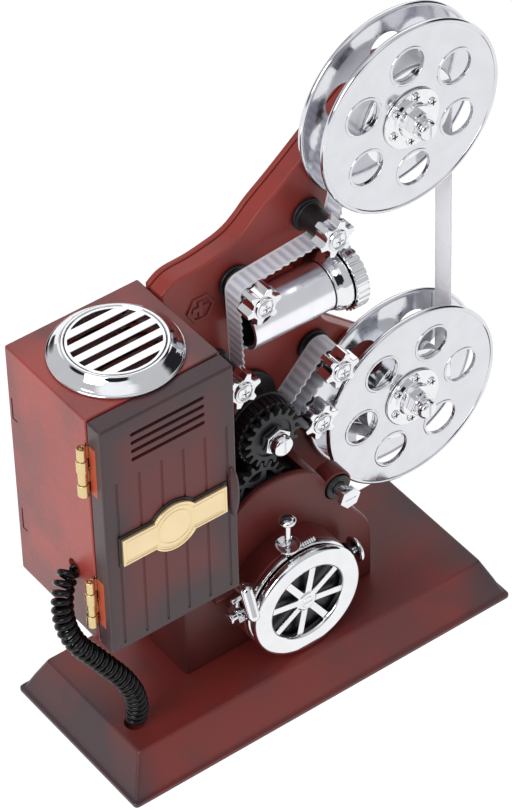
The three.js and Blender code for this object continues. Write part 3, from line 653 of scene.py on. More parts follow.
def column_outline():
    """The column's side, counter-clockwise from its foot, with a round lobe about each reel's shaft."""
    lap = [(38.2, 64.5), (44, 66.6), (52, 66.2)]
    right = [(58, 99.6), (45.9, 110.4), (38.5, 117.2), (35.9, 122.7), (36.6, 130), (38.9, 140), (39.8, 150),
             (39.8, 160), (40.2, 168), (43, 174.2), (50, 179.6)]
    left = [(34.4, 195.4), (27.9, 190.2), (20.2, 184.2), (12.1, 178.3), (8.1, 174.6), (4, 171.5), (0, 169.8),
            (-4, 168.8), (-11.9, 167.4), (-19.8, 167), (-23.7, 165.8), (-27.1, 163.4)]
    return [(-38.9, 16.35), (38.9, 16.35), (38.9, 58), *flowing(lap, 4), *arc(LOWER, LOBE, -112, 55, 30),
            *flowing(right, 4), *arc(UPPER, LOBE, -72, 128, 36), *flowing(left, 4), (-27.1, 64), (-38.9, 64)]


def hexagon_mark():
    """A raised hexagon with a cross in it."""
    x, z = MARK
    arm, half = 3.3, 0.95
    return together(
        slab(moved(circle(5.6, 6), x, z), 13.7, 15, [moved(circle(4.4, 6), x, z)]),
        slab(rectangle(x - arm, x + arm, z - half, z + half, 0.3), 13.75, 15),
        slab(rectangle(x - half, x + half, z - arm, z + arm, 0.3), 13.72, 15),
    )


def add_column():
    """The column's two covers, with the screws of the back one."""
    outline = column_outline()
    front = slab(outline, *COLUMN_Y[:2], edge=1.0, steps=4)
    saddle = slab(rectangle(11, 24, 138.4, 150, 1), 11.6, 15, edge=0.5)
    saddle = carved(saddle, [rod(8.95, 8, 27, "X", (0, *LENS_AXIS), 64)])
    posts = [rod(1.2, -3.1, 16, "Y", (p.x, 0, p.z), 24) for p in ROLLERS]
    posts.append(rod(1.5, -7.8, 16, "Y", (DRUM.x, 0, DRUM.z), 24))
    sockets = [rod(2.1, 10, 19.5, "Y", (x, 0, z), 32) for x, z in (UPPER, LOWER)]
    key_hole = rod(2.4, 10, 25, "Y", (KEY[0], 0, KEY[1]), 32)
    ring_pocket = rod(12.6, 28.7, 44, "X", (0, *LENS_AXIS), 96)
    front = together(carved(front, [*sockets, key_hole, ring_pocket]), hexagon_mark(), saddle, *posts)
    piece("column_front_cover", front, FIXED, COLUMN_RED, ["column_front"])
    back = slab(outline, *COLUMN_Y[2:], edge=0.7)
    well = [(0, 22.3), (1.6, 22.3), (2.6, 24), (0, 24)]
    head = [(0, 22.35), (1.5, 22.35), (1.5, 23), (0, 23.2)]
    wells = [spun(well, 32, "Y", (x, 0, z)) for x, z in BACK_SCREWS]
    heads = [lathe(head, 0.2, 24, "Y", (x, 0, z)) for x, z in BACK_SCREWS]
    hole = rod(3, 20, 25, "Y", (KEY[0], 0, KEY[1]), 32)
    piece("column_back_cover", carved(back, [*wells, hole]), FIXED, COLUMN_RED, ["column_back"])
    piece("back_cover_screws", together(*heads), FIXED, STEEL)


# ---------------- lamp house
VENT = (-53.1, 2.9)
VENT_OPEN = 14.9           # radius of the roof opening and of the slotted area
SLOT_PITCH, SLOT_HALF = 5.44, 1.2
HINGE_AXIS = (PIVOT["door_hinge"].x, PIVOT["door_hinge"].y)
HINGE_MIDS = [sum(c.z for c in corners(f"hinge_{n}_box_leaf")) / 2 for n in ("upper", "lower")]
HINGE_TALL = 20.1
HINGE_GAP = 0.3            # from a hinge to the ends of its slot
CLIPS = [(25.2, 137), (24.4, 89)]      # y, z of the moulded clips on the left wall


def add_lamp_house():
    """The box, open at the front, with its vent, its cord hole and slots for the hinges and clips."""
    x0, y0, z0 = LAMP_LOW
    x1, y1, z1 = LAMP_HIGH
    wall = 2.2
    shell = slab(rectangle(x0, x1, z0, z1, 0.9), y0, y1, edge=0.55)
    cord_at = (0, *CORD_ROUTE[0][1:])
    tools = [block(x0 + wall, x1 - wall, y0 - 1, y1 - wall, z0 + wall, z1 - wall),
             rod(VENT_OPEN, 150, 170, "Z", (*VENT, 0), 96),
             spun([(0, -80), (3.4, -80), (3.0, -78.6), (2.6, -77.4), (0, -77.4)], 48, "X", cord_at)]
    for mid in HINGE_MIDS:
        half = HINGE_TALL / 2 + HINGE_GAP
        tools.append(block(-82, -76.2, -18, -16.05, mid - half, mid + half))
    for y, z in CLIPS:
        tools.append(block(-80, -76, y - 0.35, y + 0.35, z - 4.6, z + 4.6))
        tools.append(block(-80, -77.5, y - 2.4, y - 0.3, z - 4.6, z - 3.9))
    piece("lamp_house_shell", carved(shell, tools), FIXED, BOX_RED, ["lamp_house"])


def add_vent():
    """The roof's ring and slotted disc, and the dark plate seen through the slots."""
    seat = corners("vent_ring")[0].z
    profile = [(15.3, 0), (22.1, 0), (22.1, 0.9), (21.3, 1.2), (20.9, 1.6), (19.3, 2.7), (17.9, 4.0),
               (17.3, 5.0), (16.5, 5.1), (16.1, 4.8), (16.1, 3.3), (15.3, 3.3)]
    ring = lathe(profile, 0.4, 160, "Z", (*VENT, seat), 3)
    piece("vent_ring_plated", ring, FIXED, CHROME, ["vent_ring"])
    slots = []
    for i in range(6):
        middle = (i - 2.5) * SLOT_PITCH
        low, high = (math.degrees(math.asin((middle + s) / VENT_OPEN)) for s in (-SLOT_HALF, SLOT_HALF))
        slots.append(arc(VENT, VENT_OPEN, low, high, 8) + arc(VENT, VENT_OPEN, 180 - high, 180 - low, 8))
    grille = slab(circle(15.9, 160, VENT), seat + 3.45, seat + 4.95, slots, edge=0.15, axis="Z")
    piece("vent_grille_plated", grille, FIXED, CHROME, ["vent_grille"])
    baffle = slab(circle(14.6, 96, VENT), 158.4, 159.2, edge=0.1, axis="Z")
    piece("vent_baffle", baffle, FIXED, DOME_RED)


# ---------------- door
DOOR_FRONT = -24.3
PLATE_MID = (-53.1, 108.6)
PLATE_FACE = -25.75
PLANKS = [-73.6, -64.9, -56.4, -48, -39.6, -31.2]      # x of the grooves between the door's planks
LOUVRES = [155.3, 151.8, 148.3, 144.8]                 # z of the slots


def plate_outline(grow):
    """The nameplate: a bar with a round middle, larger all round by grow."""
    half, tall, radius = 20.3 + grow, 5.6 + grow, 9.6 + grow
    turn = math.degrees(math.asin(tall / radius))
    bar = [(-half, -tall), *arc((0, 0), radius, 180 + turn, 360 - turn, 30), (half, -tall), (half, tall),
           *arc((0, 0), radius, turn, 180 - turn, 30), (-half, tall)]
    return moved(bar, *PLATE_MID)


def add_door():
    """The door, its grip and its nameplate."""
    front = DOOR_FRONT
    x0, _, z0 = DOOR_LOW
    x1, y1, z1 = DOOR_HIGH
    panel = slab(rectangle(x0, x1, z0, z1, 1.0), front, y1, edge=0.9, steps=4)
    tools = [block(x0 + 6, x1 - 3.5, front + 3, y1 + 1, z0 + 3.5, z1 - 3.5)]
    tools += [rod(0.5, z0 + 2.6, 138.3, "Z", (x, front - 0.08, 0), 16, 0.3) for x in PLANKS]
    slots = [rectangle(-67.4, -39.2, z - 0.75, z + 0.75, 0.7) for z in LOUVRES]
    tools += [slab(slot, front - 1, front + 1.7, edge=0) for slot in slots]
    for mid in HINGE_MIDS:
        half = HINGE_TALL / 2 + HINGE_GAP
        tools.append(block(-82, -73.2, -17.7, -16, mid - half, mid + half))
    piece("door_leaf", carved(panel, tools), "door", DOOR_RED, ["door_panel"])
    backing = slab(plate_outline(0.85), front - 0.5, front + 0.6, edge=0.15)
    piece("nameplate_backing", backing, "door", BLACK)
    grip = ball(1, (-29.7, front - 0.1, 109.2), (2, 3, 10.5), 40)
    grip = carved(grip, [block(-40, -20, front - 0.05, -10, 90, 130)])
    piece("door_grip", grip, "door", DOOR_RED, ["door_pull"])
    outline = plate_outline(0)
    under = PLATE_FACE + 0.15
    big, small = circle(6.6, 96, PLATE_MID), circle(6.3, 96, PLATE_MID)
    plate = together(
        slab(outline, PLATE_FACE, PLATE_FACE + 0.9, edge=0.15),
        slab(outline, under - 0.4, under, [inset(outline, 0.75)], edge=0.16),
        slab(inset(outline, 1.35), under - 0.26, under, [inset(outline, 1.6)], edge=0.06, steps=1),
        slab(big, under - 0.28, under, [small], edge=0.06, steps=1),
    )
    piece("nameplate_plain", plate, "door", PALE_GOLD, ["nameplate"])


def add_hinges():
    """Two brass hinges, each a fixed leaf with the pin and a leaf on the door, over a bare red recess."""
    x, y = HINGE_AXIS
    knuckle = HINGE_TALL / 4
    for name, mid in zip(("upper", "lower"), HINGE_MIDS):
        low = mid - HINGE_TALL / 2
        for side, order, leaf_y, reach, body in (("box", (0, 2), (-16.62, -16.2), -76.8, FIXED),
                                                 ("door", (1, 3), (-17.62, -17.2), -73.6, "door")):
            parts = []
            for k in order:
                z0, z1 = low + k * knuckle + 0.06, low + (k + 1) * knuckle - 0.06
                outer = 1.95 if side == "box" else 1.6
                tube = plain_ring(0.85, outer, z0, z1)
                parts.append(lathe(tube, 0.18, 48, "Z", (x, y, 0), 3))
                parts.append(slab(rectangle(x + 1, -77.8, z0, z1, 0.15), *leaf_y, edge=0.08))
            leaf = rectangle(-78.4, reach, low + 0.1, low + HINGE_TALL - 0.1, 0.3)
            parts.append(slab(leaf, *leaf_y, edge=0.1))
            if side == "box":
                parts.append(rod(0.72, low, low + HINGE_TALL, "Z", (x, y, 0), 32, 0.2))
            hinge = f"hinge_{name}_{side}"
            piece(f"{hinge}_brass", together(*parts), body, BRASS, [f"{hinge}_leaf"])
        bare = rectangle(-78.66, -78.3, low - 0.1, low + HINGE_TALL + 0.1, 0.1)
        piece(f"hinge_{name}_recess", slab(bare, -21.2, -17.75, edge=0.05), "door", RAW_RED)


# ---------------- film
ROLLERS = [PIVOT[f"roller_{i}_spin"] for i in range(1, 6)]
DRUM = PIVOT["drum_spin"]
DRIVE = PIVOT["drive_gear_spin"]
HUB_R, DRUM_R, CORE_R = 4.5, 9.5, 18.05
FILM_STEP = 0.33           # between two rings of the film's points
FILM_LIFT = 0.55           # from a wheel's surface to the middle of the film
FILM_Y = tuple(c.y for c in corners("film_belt"))
FREE_RUN = 44              # beyond this X the film is smooth
RIB = 3.0                  # pitch of the film's cross ribs and of its scalloped edge


def film_line(step):
    """The film's centre line as even points in X-Z: each wheel is (centre, radius, turn)."""
    one, two, three, four, five = [((p.x, p.z), HUB_R) for p in ROLLERS]
    drum = ((DRUM.x, DRUM.z), DRUM_R)
    wheels = [(UPPER, CORE_R, 1), (*one, -1), (*two, 1), (*three, -1), (*drum, 1), (*four, -1), (*five, 1),
              (LOWER, CORE_R, 1)]
    wheels = [(Vector(c), r + FILM_LIFT, s) for c, r, s in wheels]

    def heading(first, second):
        gap = second[0] - first[0]
        lean = second[2] * second[1] - first[2] * first[1]
        return math.atan2(gap.y, gap.x) - math.asin(lean / gap.length)

    points = []
    for i, wheel in enumerate(wheels):
        centre, radius, sign = wheel
        start = heading(wheels[i - 1], wheel) - sign * math.pi / 2
        end = heading(wheel, wheels[(i + 1) % len(wheels)]) - sign * math.pi / 2
        while (end - start) * sign < 0:
            end += sign * 2 * math.pi
        while (end - start) * sign > 2 * math.pi:
            end -= sign * 2 * math.pi
        points += [Vector(p) for p in arc(centre, radius, math.degrees(start), math.degrees(end), 60)]
    points.append(points[0])
    total = sum((b - a).length for a, b in zip(points, points[1:]))
    even, _ = along(points, total / round(total / step))
    return even[:-1] if (even[-1] - even[0]).length < step * 0.5 else even


def add_film():
    """The closed loop of film, with moulded cross ribs, painted shade in the troughs between them, and one
    scalloped edge.
    """
    line = film_line(FILM_STEP)
    y0, y1 = FILM_Y
    bm = bmesh.new()
    rib_shade_layer = bm.verts.layers.float.new("painted_rib_shade")
    rings = []
    n = len(line)
    ribs = round(n * FILM_STEP / RIB)
    for i, point in enumerate(line):
        heading = (line[(i + 1) % n] - line[i - 1]).normalized()
        out = Vector((heading.y, -heading.x))
        shows = 0.08 if point.x > FREE_RUN else 1.0
        swell = shows * math.cos(2 * math.pi * ribs * i / n)
        notch = 0.35 * (shows - swell)
        ribbed = 0.22 + 0.1 * math.tanh(3 * swell)
        section = [(y0 + notch, 0.3), (y0 + 1.0, 0.34), (y0 + 1.3, ribbed), (y1 - 0.9, ribbed),
                   (y1 - 0.6, 0.34), (y1, 0.34)]
        ring = section + [(y, -depth) for y, depth in reversed(section)]
        rings.append([bm.verts.new((point.x + out.x * d, y, point.y + out.y * d)) for y, d in ring])
        # painted shade: a dark value in each trough between ribs, a light one on rib tops and borders, faint
        # on the free run
        for vert, (_, depth) in zip(rings[-1], ring):
            vert[rib_shade_layer] = 1 - shows * (0.5 - 0.5 * math.tanh(3 * swell)) if abs(depth) == ribbed else 0.95
    bridged(bm, rings + rings[:1])
    piece("ribbed_film", bm, FIXED, FILM, ["film_belt"], sharp=50)


# ---------------- rollers and sprockets
BORE = 1.32                # radius of a roller's bore


def crossed(arm, half, y0, y1, x=0, z=0):
    """The two bars of a screw's cross: arm is half a bar's length and half its half width."""
    return [block(x - arm, x + arm, y0, y1, z - half, z + half),
            block(x - half, x + half, y0, y1, z - arm, z + arm)]


def sprocket_mesh():
    """A six-toothed sprocket with a bezel round its cross-headed screw."""
    teeth = softened(star(6, 4.8, 6.9, phase=10), 0.35, 2, closed=True)
    screw = [(0, -3.3), (BORE, -3.3), (BORE, -2.9), (2.6, -2.9), (2.6, -3.5), (1.6, -3.95), (0, -4.05)]
    bezel = [(2.9, -2.8), (3.95, -2.8), (3.8, -3.75), (3.45, -3.9), (2.9, -3.5)]
    return together(
        slab(teeth, -3, 2.9, [circle(BORE, 32)], edge=0.3),
        lathe(bezel, 0.15),
        carved(lathe(screw, 0.1, 48), crossed(1.5, 0.3, -4.6, -3.3)),
    )


def add_rollers():
    """Five rollers, each a black hub behind a plated sprocket."""
    profile = [(BORE, 3.02), (4.1, 3.02), (4.5, 3.4), (4.5, 12.4), (4.8, 12.6), (5.9, 12.65), (6, 12.9),
               (6, 13.7), (5.7, 14), (BORE, 14)]
    for i, spot in enumerate(ROLLERS, 1):
        body = f"roller_{i}"
        hub = lathe(profile, 0.25, at=(spot.x, 0, spot.z), steps=3)
        sprocket = shifted(sprocket_mesh(), x=spot.x, z=spot.z)
        piece(f"roller_{i}_black_hub", hub, body, BLACK, [f"roller_hub_{i}"])
        piece(f"sprocket_{i}_plated", sprocket, body, CHROME, [f"sprocket_{i}"])


# ---------------- drum and gears
GEAR_Y = (-5.4, -2.8)


def gear_outline(teeth, towards, module=1.15):
    """A spur gear with one tooth pointing towards an angle in degrees."""
    pitch = module * teeth / 2
    root, tip = pitch - 1.15 * module, pitch + 0.9 * module
    tooth = ((-0.29, root), (-0.2, pitch), (-0.11, tip), (0.11, tip), (0.2, pitch), (0.29, root))
    return softened(toothed(teeth, tooth, towards), 0.12, 2, closed=True)


def add_drum():
    """The ribbed drum with its gear and cap nut, the gear that it meshes with, and the movement's case."""
    place = dict(x=DRUM.x, z=DRUM.z)
    profile = [(1.62, -1), (9.6, -1), (9.6, -2.3), (10.9, -2.3), (10.9, 1.7), (13.0, 1.7), (13.2, 1.95),
               (13.2, 2.7), (13.0, 2.9), (9.5, 2.9), (9.5, 12.1), (14.3, 12.1), (14.6, 12.4), (14.6, 14),
               (1.62, 14)]
    body = lathe(profile, 0.15, 128, steps=2)
    ribs = slab(star(32, 11.6, 12.1, 0.34, 0.24), -2.7, 1.8, [circle(10.2, 96)], edge=0.12, steps=2)
    piece("drum_ribbed", shifted(together(body, ribs), **place), "drum", BLACK, ["drum"])
    towards = math.degrees(math.atan2(DRIVE.z - DRUM.z, DRIVE.x - DRUM.x))
    teeth, mating = 18, 16
    gear = together(
        slab(gear_outline(teeth, towards), *GEAR_Y, [circle(7.4, 72)], edge=0.18, steps=2),
        lathe(plain_ring(1.62, 7.6, -4.7, -2.9), 0.1, 72),
    )
    piece("drum_gear_toothed", shifted(gear, **place), "drum", GEAR_BLACK, ["drum_gear"])
    windows = []
    for i in range(5):
        a = i * 72 + 9
        window = [*arc((0, 0), 6.6, a, a + 54, 12), *arc((0, 0), 3.4, a + 34, a + 8, 6)]
        windows.append(softened(window, 0.5, 3, closed=True))
    outline = gear_outline(mating, towards + 180 + 180 / mating)
    wheel = together(slab(outline, *GEAR_Y, windows, edge=0.18, steps=2), rod(1.6, -5.6, 4))
    wheel = shifted(wheel, x=DRIVE.x, z=DRIVE.z)
    piece("drive_gear_toothed", wheel, "drive_gear", GEAR_BLACK, ["drive_gear"])
    nut = slab(circle(5.3, 6, phase=20), -8.4, -5.5, edge=0.35)
    cap = lathe([(0, -12), (2.7, -12), (3.7, -11.4), (4, -10.2), (4, -8.3), (0, -8.3)], 0.5)
    cap = carved(cap, [block(-0.5, 0.5, -14, -11.0, -5, 5)])
    piece("drum_cap_nut", shifted(together(nut, cap), **place), "drum", CHROME, ["drum_nut"])
    roof = flowing([(11.6, 78.4), (4, 83.4), (-3, 85.2), (-9, 85.2), (-15, 81.6), (-21.6, 76)], 5)
    case = slab([(-21.6, 62), (11.6, 62), *roof], -2.4, 13.8, edge=0.8)
    piece("movement_case_black", case, FIXED, BLACK, ["movement_case"])


# ---------------- reels
REEL_R, REEL_HOLE, REEL_PITCH = 35.7, 6.3, 21.3
CORE_Y = (2.1, 12.1)
REEL_PHASES = {"upper_reel": 33.6, "lower_reel": 6.3}      # where each reel's first hole lies
SCREW_SPOTS = [polar(8.4, 60 * i + math.degrees(0.4)) for i in range(6)]


def flange(phase, face, back, rim):
    """A reel's flange: face and back are the disc's two planes and rim the range of its rolled edge."""
    spots = [polar(REEL_PITCH, phase + 60 * i) for i in range(6)]
    holes = [circle(REEL_HOLE, 72, spot) for spot in spots]
    disc = slab(circle(REEL_R - 0.9, 192), face, back, [*holes, circle(2.2, 48)], edge=0.12, steps=2)
    middle, tall = (rim[0] + rim[1]) / 2, (rim[1] - rim[0]) / 2
    edge = [(REEL_R - 0.85 + across, middle + tall * up / 0.85) for across, up in circle(0.85, 16)]
    proud, root = (face, 1) if face < CORE_Y[0] else (back, -1)
    section = ((-0.02, -0.3), (0.02, 0.2), (0.3, 0.34), (0.7, 0.34), (1.0, 0.2), (1.05, -0.3))
    collar = [(REEL_HOLE + out, proud - root * high) for out, high in section]
    collars = [lathe(collar, 0.12, 72, "Y", (x, 0, z), 2) for x, z in spots]
    return together(disc, spun(edge, 192), *collars)


def screw_recess_shade():
    """Black crosses at the floors of the six cross recesses round a reel's hub: painted shade for the shadow
    inside each recess.
    """
    return together(*[bar for x, z in SCREW_SPOTS for bar in crossed(1.13, 0.28, -0.7, -0.3, x, z)])


def reel_hub():
    """The stepped boss in front of a reel, with six screws, a nut and a slotted cap."""
    head = [(0, -0.1), (1.6, -0.1), (1.6, -0.5), (1.2, -0.85), (0, -0.95)]
    screws = []
    for x, z in SCREW_SPOTS:
        screw = lathe(head, 0.2, 32, "Y", (x, 0, z))
        screws.append(carved(screw, crossed(1.15, 0.3, -1.6, -0.48, x, z)))
    boss = [(0, 0.65), (11.2, 0.65), (11.2, 0.05), (10.8, -0.25), (10.2, -0.1), (6.6, -0.1), (6, -0.5),
            (6, -2.2), (0, -2.2)]
    nut = slab(circle(4.7, 6, phase=10), -5, -2.1, edge=0.35)
    cap = [(0, -9.2), (2.4, -9.2), (3.3, -8.5), (3.6, -7.2), (3.6, -6.2), (3.2, -5.9), (3.2, -4.9), (0, -4.9)]
    cap = carved(lathe(cap, 0.4), [block(-0.45, 0.45, -11, -8.3, -5, 5)])
    return together(lathe(boss, 0.2, 128, steps=3), nut, cap, *screws)


def add_reel(name, centre):
    """A reel on its fixed shaft."""
    place = dict(x=centre[0], z=centre[1])
    phase = REEL_PHASES[name]
    parts = (
        ("front_flange", REEL_CHROME, flange(phase, 0.8, 2, (0.3, 2.5))),
        ("back_flange", REEL_CHROME, flange(phase, 12.2, 13.4, (11.7, 13.8))),
        ("core", CHROME, lathe(plain_ring(2.2, CORE_R, *CORE_Y), 0.2, 160)),
        ("hub", CHROME, reel_hub()),
    )
    for part, finish, mesh in parts:
        piece(f"{name}_{part}_plated", shifted(mesh, **place), name, finish, [f"{name}_{part}"])
    # painted shade: black crosses in the hub's screw recesses, where the shadow falls
    piece(f"{name}_screw_recess_shade", shifted(screw_recess_shade(), **place), name, BLACK)
    shaft = shifted(rod(2, -5.4, 19.3, n=40), **place)
    piece(f"{name}_shaft_pin", shaft, FIXED, STEEL, [f"{name}_shaft"])


# ---------------- lens
LENS_AXIS = (PIVOT["focus_ring_turn"].y, PIVOT["focus_ring_turn"].z)


def add_lens():
    """A satin tube with room for the sprocket beside it, a plated collar, a focus ring and a glass."""
    at = (0, *LENS_AXIS)
    sprocket_room = dict(axis="Y", at=(ROLLERS[1].x, 0, ROLLERS[1].z), n=64)
    tube = lathe([(7.4, -3.2), (8.5, -3.2), (8.7, -3), (8.7, 28.7), (7.4, 28.7)], 0.15, 128, "X", at, 3)
    tube = carved(tube, [rod(7.3, -6, 20, **sprocket_room)])
    piece("lens_tube_satin", tube, FIXED, SATIN, ["lens_barrel"])
    gasket = lathe(plain_ring(7.4, 8.75, 28.72, 29.05), 0.1, 128, "X", at)
    piece("lens_dark_ring", gasket, FIXED, BLACK)
    collar = [(7.4, 29.08), (9.1, 29.08), (9.1, 29.9), (9.4, 30.4), (10.1, 31.4), (10.5, 32.4), (10.6, 33.6),
              (10.6, 34.9), (7.4, 34.9)]
    piece("lens_flared_collar", lathe(collar, 0.2, 128, "X", at), FIXED, CHROME)
    liner = spun(plain_ring(7.1, 7.42, -2.6, 28.5), 96, "X", at)
    liner = carved(liner, [rod(7.35, -6, 20, **sprocket_room)])
    piece("lens_dark_bore", liner, FIXED, BLACK)
    x0, x1 = 35.3, 40.4
    ridge = slab(star(30, 11.6, 12.1, 0.4, 0.3), x0, x1, [circle(9.2, 96)], edge=0.3, axis="X")
    face = [(7.5, x0), (11.2, x0), (11.2, x1 - 0.4), (9.6, x1), (9.1, x1 - 1.2), (7.5, x1 - 1.6)]
    ring = together(shifted(ridge, *at), lathe(face, 0.3, 128, "X", at, 3))
    piece("focus_ring_ridged", ring, "focus_ring", CHROME, ["focus_ring"])
    glass = [(0, 30.6), (2.5, 30.5), (5, 30.1), (7.1, 29.6), (7.1, 28.9), (5, 28.1), (2.5, 27.6), (0, 27.4)]
    piece("lens_front_glass", spun(glass, 96, "X", at), FIXED, GLASS, ["lens_glass"])


# ---------------- spoked wheel and fittings
PIN = (-4, -18.75, 0)      # the start pin's axis


def add_wheel():
    """The spoked wheel, its backing disc and its trim ring, whose arm holds the start pin's cup."""
    rim = [(14.7, -1.1), (15.3, -1.75), (16.4, -2.0), (20.4, -2.0), (21.5, -1.6), (22, -0.7), (22, 0.7),
           (21.4, 1.6), (15.3, 1.6), (14.7, 0.9)]
    parts = [lathe(rim, 0.5, 160, steps=3)]
    for i in range(8):
        spoke = slab(rectangle(2.6, 15.4, -1.3, 1.3, 0.3), -0.6, 0.6, edge=0.2)
        parts.append(rotated(spoke, 45 * i + 11.5))
    hub = lathe([(0, -1.4), (2.2, -1.4), (2.2, -1.15), (3.2, -1.15), (4.2, -0.5), (4.2, 1.2), (0, 1.2)], 0.2)
    hub = carved(hub, [block(-1.7, 1.7, -3, -1.0, -0.28, 0.28)])
    wheel = shifted(together(*parts, hub, rod(1.9, 1, 9)), *WHEEL)
    piece("spoked_wheel_plated", wheel, "spoked_wheel", CHROME, ["spoked_wheel"])
    seat = (WHEEL.x, 0, WHEEL.z)
    backing = lathe(plain_ring(2.2, 16.4, -20.1, -19.55), 0.1, 96, at=seat)
    piece("wheel_backing_disc", backing, FIXED, BLACK, ["wheel_backing"])
    trim = [(19.2, -19.6), (21.2, -19.6), (21.8, -19.1), (21.8, -17.9), (21.2, -17.5), (19.2, -17.5)]
    trim = lathe(trim, 0.25, 160, at=seat)
    stem = spun(plain_ring(0.75, 1.1, 58.8, 62.9), 32, "Z", PIN)
    cup = [(0.75, 62.4), (2, 62.4), (3.4, 63.2), (4.2, 64.1), (4.4, 65), (4, 65), (3.4, 64.2), (0.75, 63.6)]
    cup = lathe(cup, 0.25, axis="Z", at=PIN, steps=3)
    arm_z = 61.1
    arm = rod(0.55, PIN[0] + 0.9, 7, "X", (0, PIN[1], arm_z), 24)
    ridges = []
    for i in range(6):
        x = 1.6 + 0.9 * i
        ridges.append(lathe(plain_ring(0.5, 1.1, x, x + 0.7), 0.25, 32, "X", (0, PIN[1], arm_z)))
    piece("wheel_trim_plated", together(trim, stem, cup, arm, *ridges), FIXED, CHROME, ["wheel_trim_ring"])
    pin = [(0, 60.4), (0.65, 60.4), (0.65, 65.2), (1.05, 65.3), (1.05, 73.8), (2, 74.4), (3, 75.6), (3, 76.4),
           (2.2, 77.1), (0, 77.3)]
    piece("start_pin_plated", lathe(pin, 0.3, axis="Z", at=PIN), "start_pin", CHROME, ["start_pin"])


def strut(start, end, radius):
    """A round bar with ball ends between two points."""
    start, end = Vector(start), Vector(end)
    bar = rod(radius, 0, (end - start).length, "Z", n=48, edge=0)
    lean = (end - start).to_track_quat("Z", "Y").to_matrix().to_4x4()
    bmesh.ops.transform(bar, matrix=Matrix.Translation(start) @ lean, verts=bar.verts)
    return together(bar, ball(radius, start), ball(radius, end))


def add_button():
    """The sprung button on the right and its collar."""
    at = (0, *BUTTON)
    collar = [(1.5, 22.7), (3.6, 22.7), (3.9, 23.1), (3.9, 23.6), (3.2, 24), (1.5, 24)]
    piece("button_collar_black", lathe(collar, 0.15, 64, "X", at), FIXED, BLACK, ["button_collar"])
    button = [(0, 20), (1.35, 20), (1.35, 25.6), (4.2, 25.6), (4.9, 26.1), (4.9, 26.8), (3.8, 27.5),
              (0, 27.8)]
    piece("side_button_plated", lathe(button, 0.3, 64, "X", at), "side_button", CHROME, ["side_button"])


def add_side_pipe():
    """The bent pipe beside the wheel, its hexagon nut and the small handle that turns on it."""
    top, foot, elbow, end = (-22.6, -20.5, 56.1), (-23, -24.6, 48), (-22.5, -14.5, 54), (-18.1, -14.5, 51.1)
    x, y, z = nut_at = (-23.2, -15.8, 41.4)
    level = (0, y, z)
    pipe = together(
        strut(top, foot, 2.2),
        strut((-22.5, -20, 54.6), elbow, 1.5),
        strut(elbow, end, 1.4),
        strut(nut_at, foot, 1.0),
        shifted(slab(circle(3.7, 6), x - 1.6, x + 1.6, edge=0.35, axis="X"), *level),
        rod(1.5, -26.2, -24, "X", level),
        rod(2.1, -26.9, -26, "X", level),
    )
    piece("side_pipe_plated", pipe, FIXED, CHROME, ["side_pipe"])
    stem = rod(0.9, 45.3, 49, "Z", (x, y, 0), 24)
    handle = together(stem, rod(1, -25.6, -21.2, "X", (0, y, 48.6), 24, 0.3))
    piece("valve_handle_plated", handle, "valve_handle", CHROME, ["valve_handle"])


def add_stud():
    """The slotted hexagon stud and the black ring round its foot."""
    place = dict(x=STUD[0], z=STUD[1])
    head = slab(circle(4.2, 6, phase=8), -16, -13.6, edge=0.35)
    head = carved(head, [block(-2.2, 2.2, -17, -15.7, -0.25, 0.25)])
    stud = shifted(together(head, rod(2.3, -13.8, -6.8)), **place)
    piece("guide_stud_plated", stud, FIXED, CHROME, ["guide_stud"])
    ring = lathe([(2.5, -9.2), (4.5, -9.2), (4.8, -8.9), (4.8, -6.7), (2.5, -6.7)], 0.2)
    piece("guide_ring_black", shifted(ring, **place), FIXED, BLACK, ["guide_ring"])


def add_key():
    """The winding key on the back."""
    half = [(-9.5, -2.2), (-6, -3.6), (-1.5, -2.4), (1.5, -2.4), (6, -3.6), (9.5, -2.2)]
    grip = softened(half + [(-x, -z) for x, z in half], 1.2, closed=True)
    key = together(rod(1.9, 1, 29), rod(3.4, 24.2, 27, n=48, edge=0.4), slab(grip, 28, 30, edge=0.4))
    piece("winding_key_steel", shifted(key, x=KEY[0], z=KEY[1]), "winding_key", STEEL, ["winding_key"])


def finish_inner_nodes():
    """The floor plate and the clockwork keep their CAD shapes and get their own finishes."""
    for node, finish in (("base_cover", BLACK), ("movement_bedplate", BRASS), ("spring_barrel", BRASS),
                         ("pin_cylinder", BRASS), ("music_comb", STEEL)):
        mesh = frame["nodes"][node].data
        mesh.materials.clear()
        mesh.materials.append(finish)


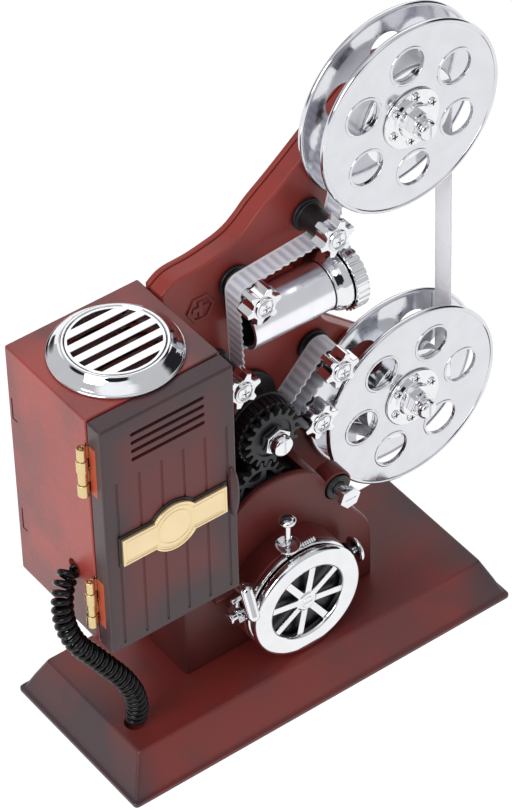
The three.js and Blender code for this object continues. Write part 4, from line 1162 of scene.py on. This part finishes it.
add_base()
add_lower_housing()
add_column()
add_lamp_house()
add_vent()
add_door()
add_hinges()
add_film()
add_rollers()
add_drum()
add_reel("upper_reel", UPPER)
add_reel("lower_reel", LOWER)
add_lens()
add_wheel()
add_button()
add_side_pipe()
add_stud()
add_key()
finish_inner_nodes()


# ---------------- studio
def add_floor():
    """A plain white floor under the whole scene."""
    bm = bmesh.new()
    bmesh.ops.create_grid(bm, x_segments=1, y_segments=1, size=6)
    bmesh.ops.translate(bm, vec=(0, 0, -0.0002), verts=bm.verts)
    floor = loose_object(bm, "floor")
    white = surface("floor_white", Roughness=0.9, Emission_Strength=1.0, Base_Color=(0.06, 0.06, 0.06, 1),
                    Emission_Color=(1, 1, 1, 1))
    floor.data.materials.append(white.owner)


def add_light(name, at, size, energy, aim=(0, 0, 0.1)):
    """A soft area light, in metres."""
    light = placed(name, bpy.data.lights.new(name, "AREA"))
    light.data.size = size
    light.data.energy = energy
    light.location = at
    light.rotation_euler = (Vector(aim) - Vector(at)).to_track_quat("-Z", "Y").to_euler()


def add_world():
    """A white studio with a brighter patch overhead and darker ones at the photographer and the open side."""
    world = bpy.data.worlds.new("studio")
    bpy.context.scene.world = world
    studio = Surface(world)
    place = studio.add("TexCoord").outputs["Generated"]
    colour = (0.97, 0.98, 1.0)
    dim, bright = (0.03, 0.03, 0.035), (1.75, 1.77, 1.8)
    patches = [                # azimuth, elevation, cosines of its outer and inner edges, colour
        (AZIMUTH, 1.12, 0.9, 0.97, bright), (AZIMUTH, 0.5, 0.92, 0.95, dim), (1.5, 0.35, 0.87, 0.94, dim),
        (2.9, 0.25, 0.9, 0.97, dim), (-1.9, 0.2, 0.93, 0.98, dim),
    ]
    for turn, height, low, high, shade in patches:
        towards = studio.add("VectorMath", place)
        towards.operation = "DOT_PRODUCT"
        towards.inputs[1].default_value = heading_at(turn, height)
        colour = studio.blended(studio.ranged(towards.outputs["Value"], low, high, 0.0, 1.0), colour, shade)
    background = studio.nodes["Background"]
    background.inputs["Strength"].default_value = 0.62
    studio.links.new(colour, background.inputs["Color"])


add_floor()
add_world()
add_light("key", (-1.25, -0.3, 0.95), 0.9, 11.5)
add_light("back", (0.64, 0.89, 1.12), 1.5, 5)
bpy.context.scene.view_settings.view_transform = "Standard"
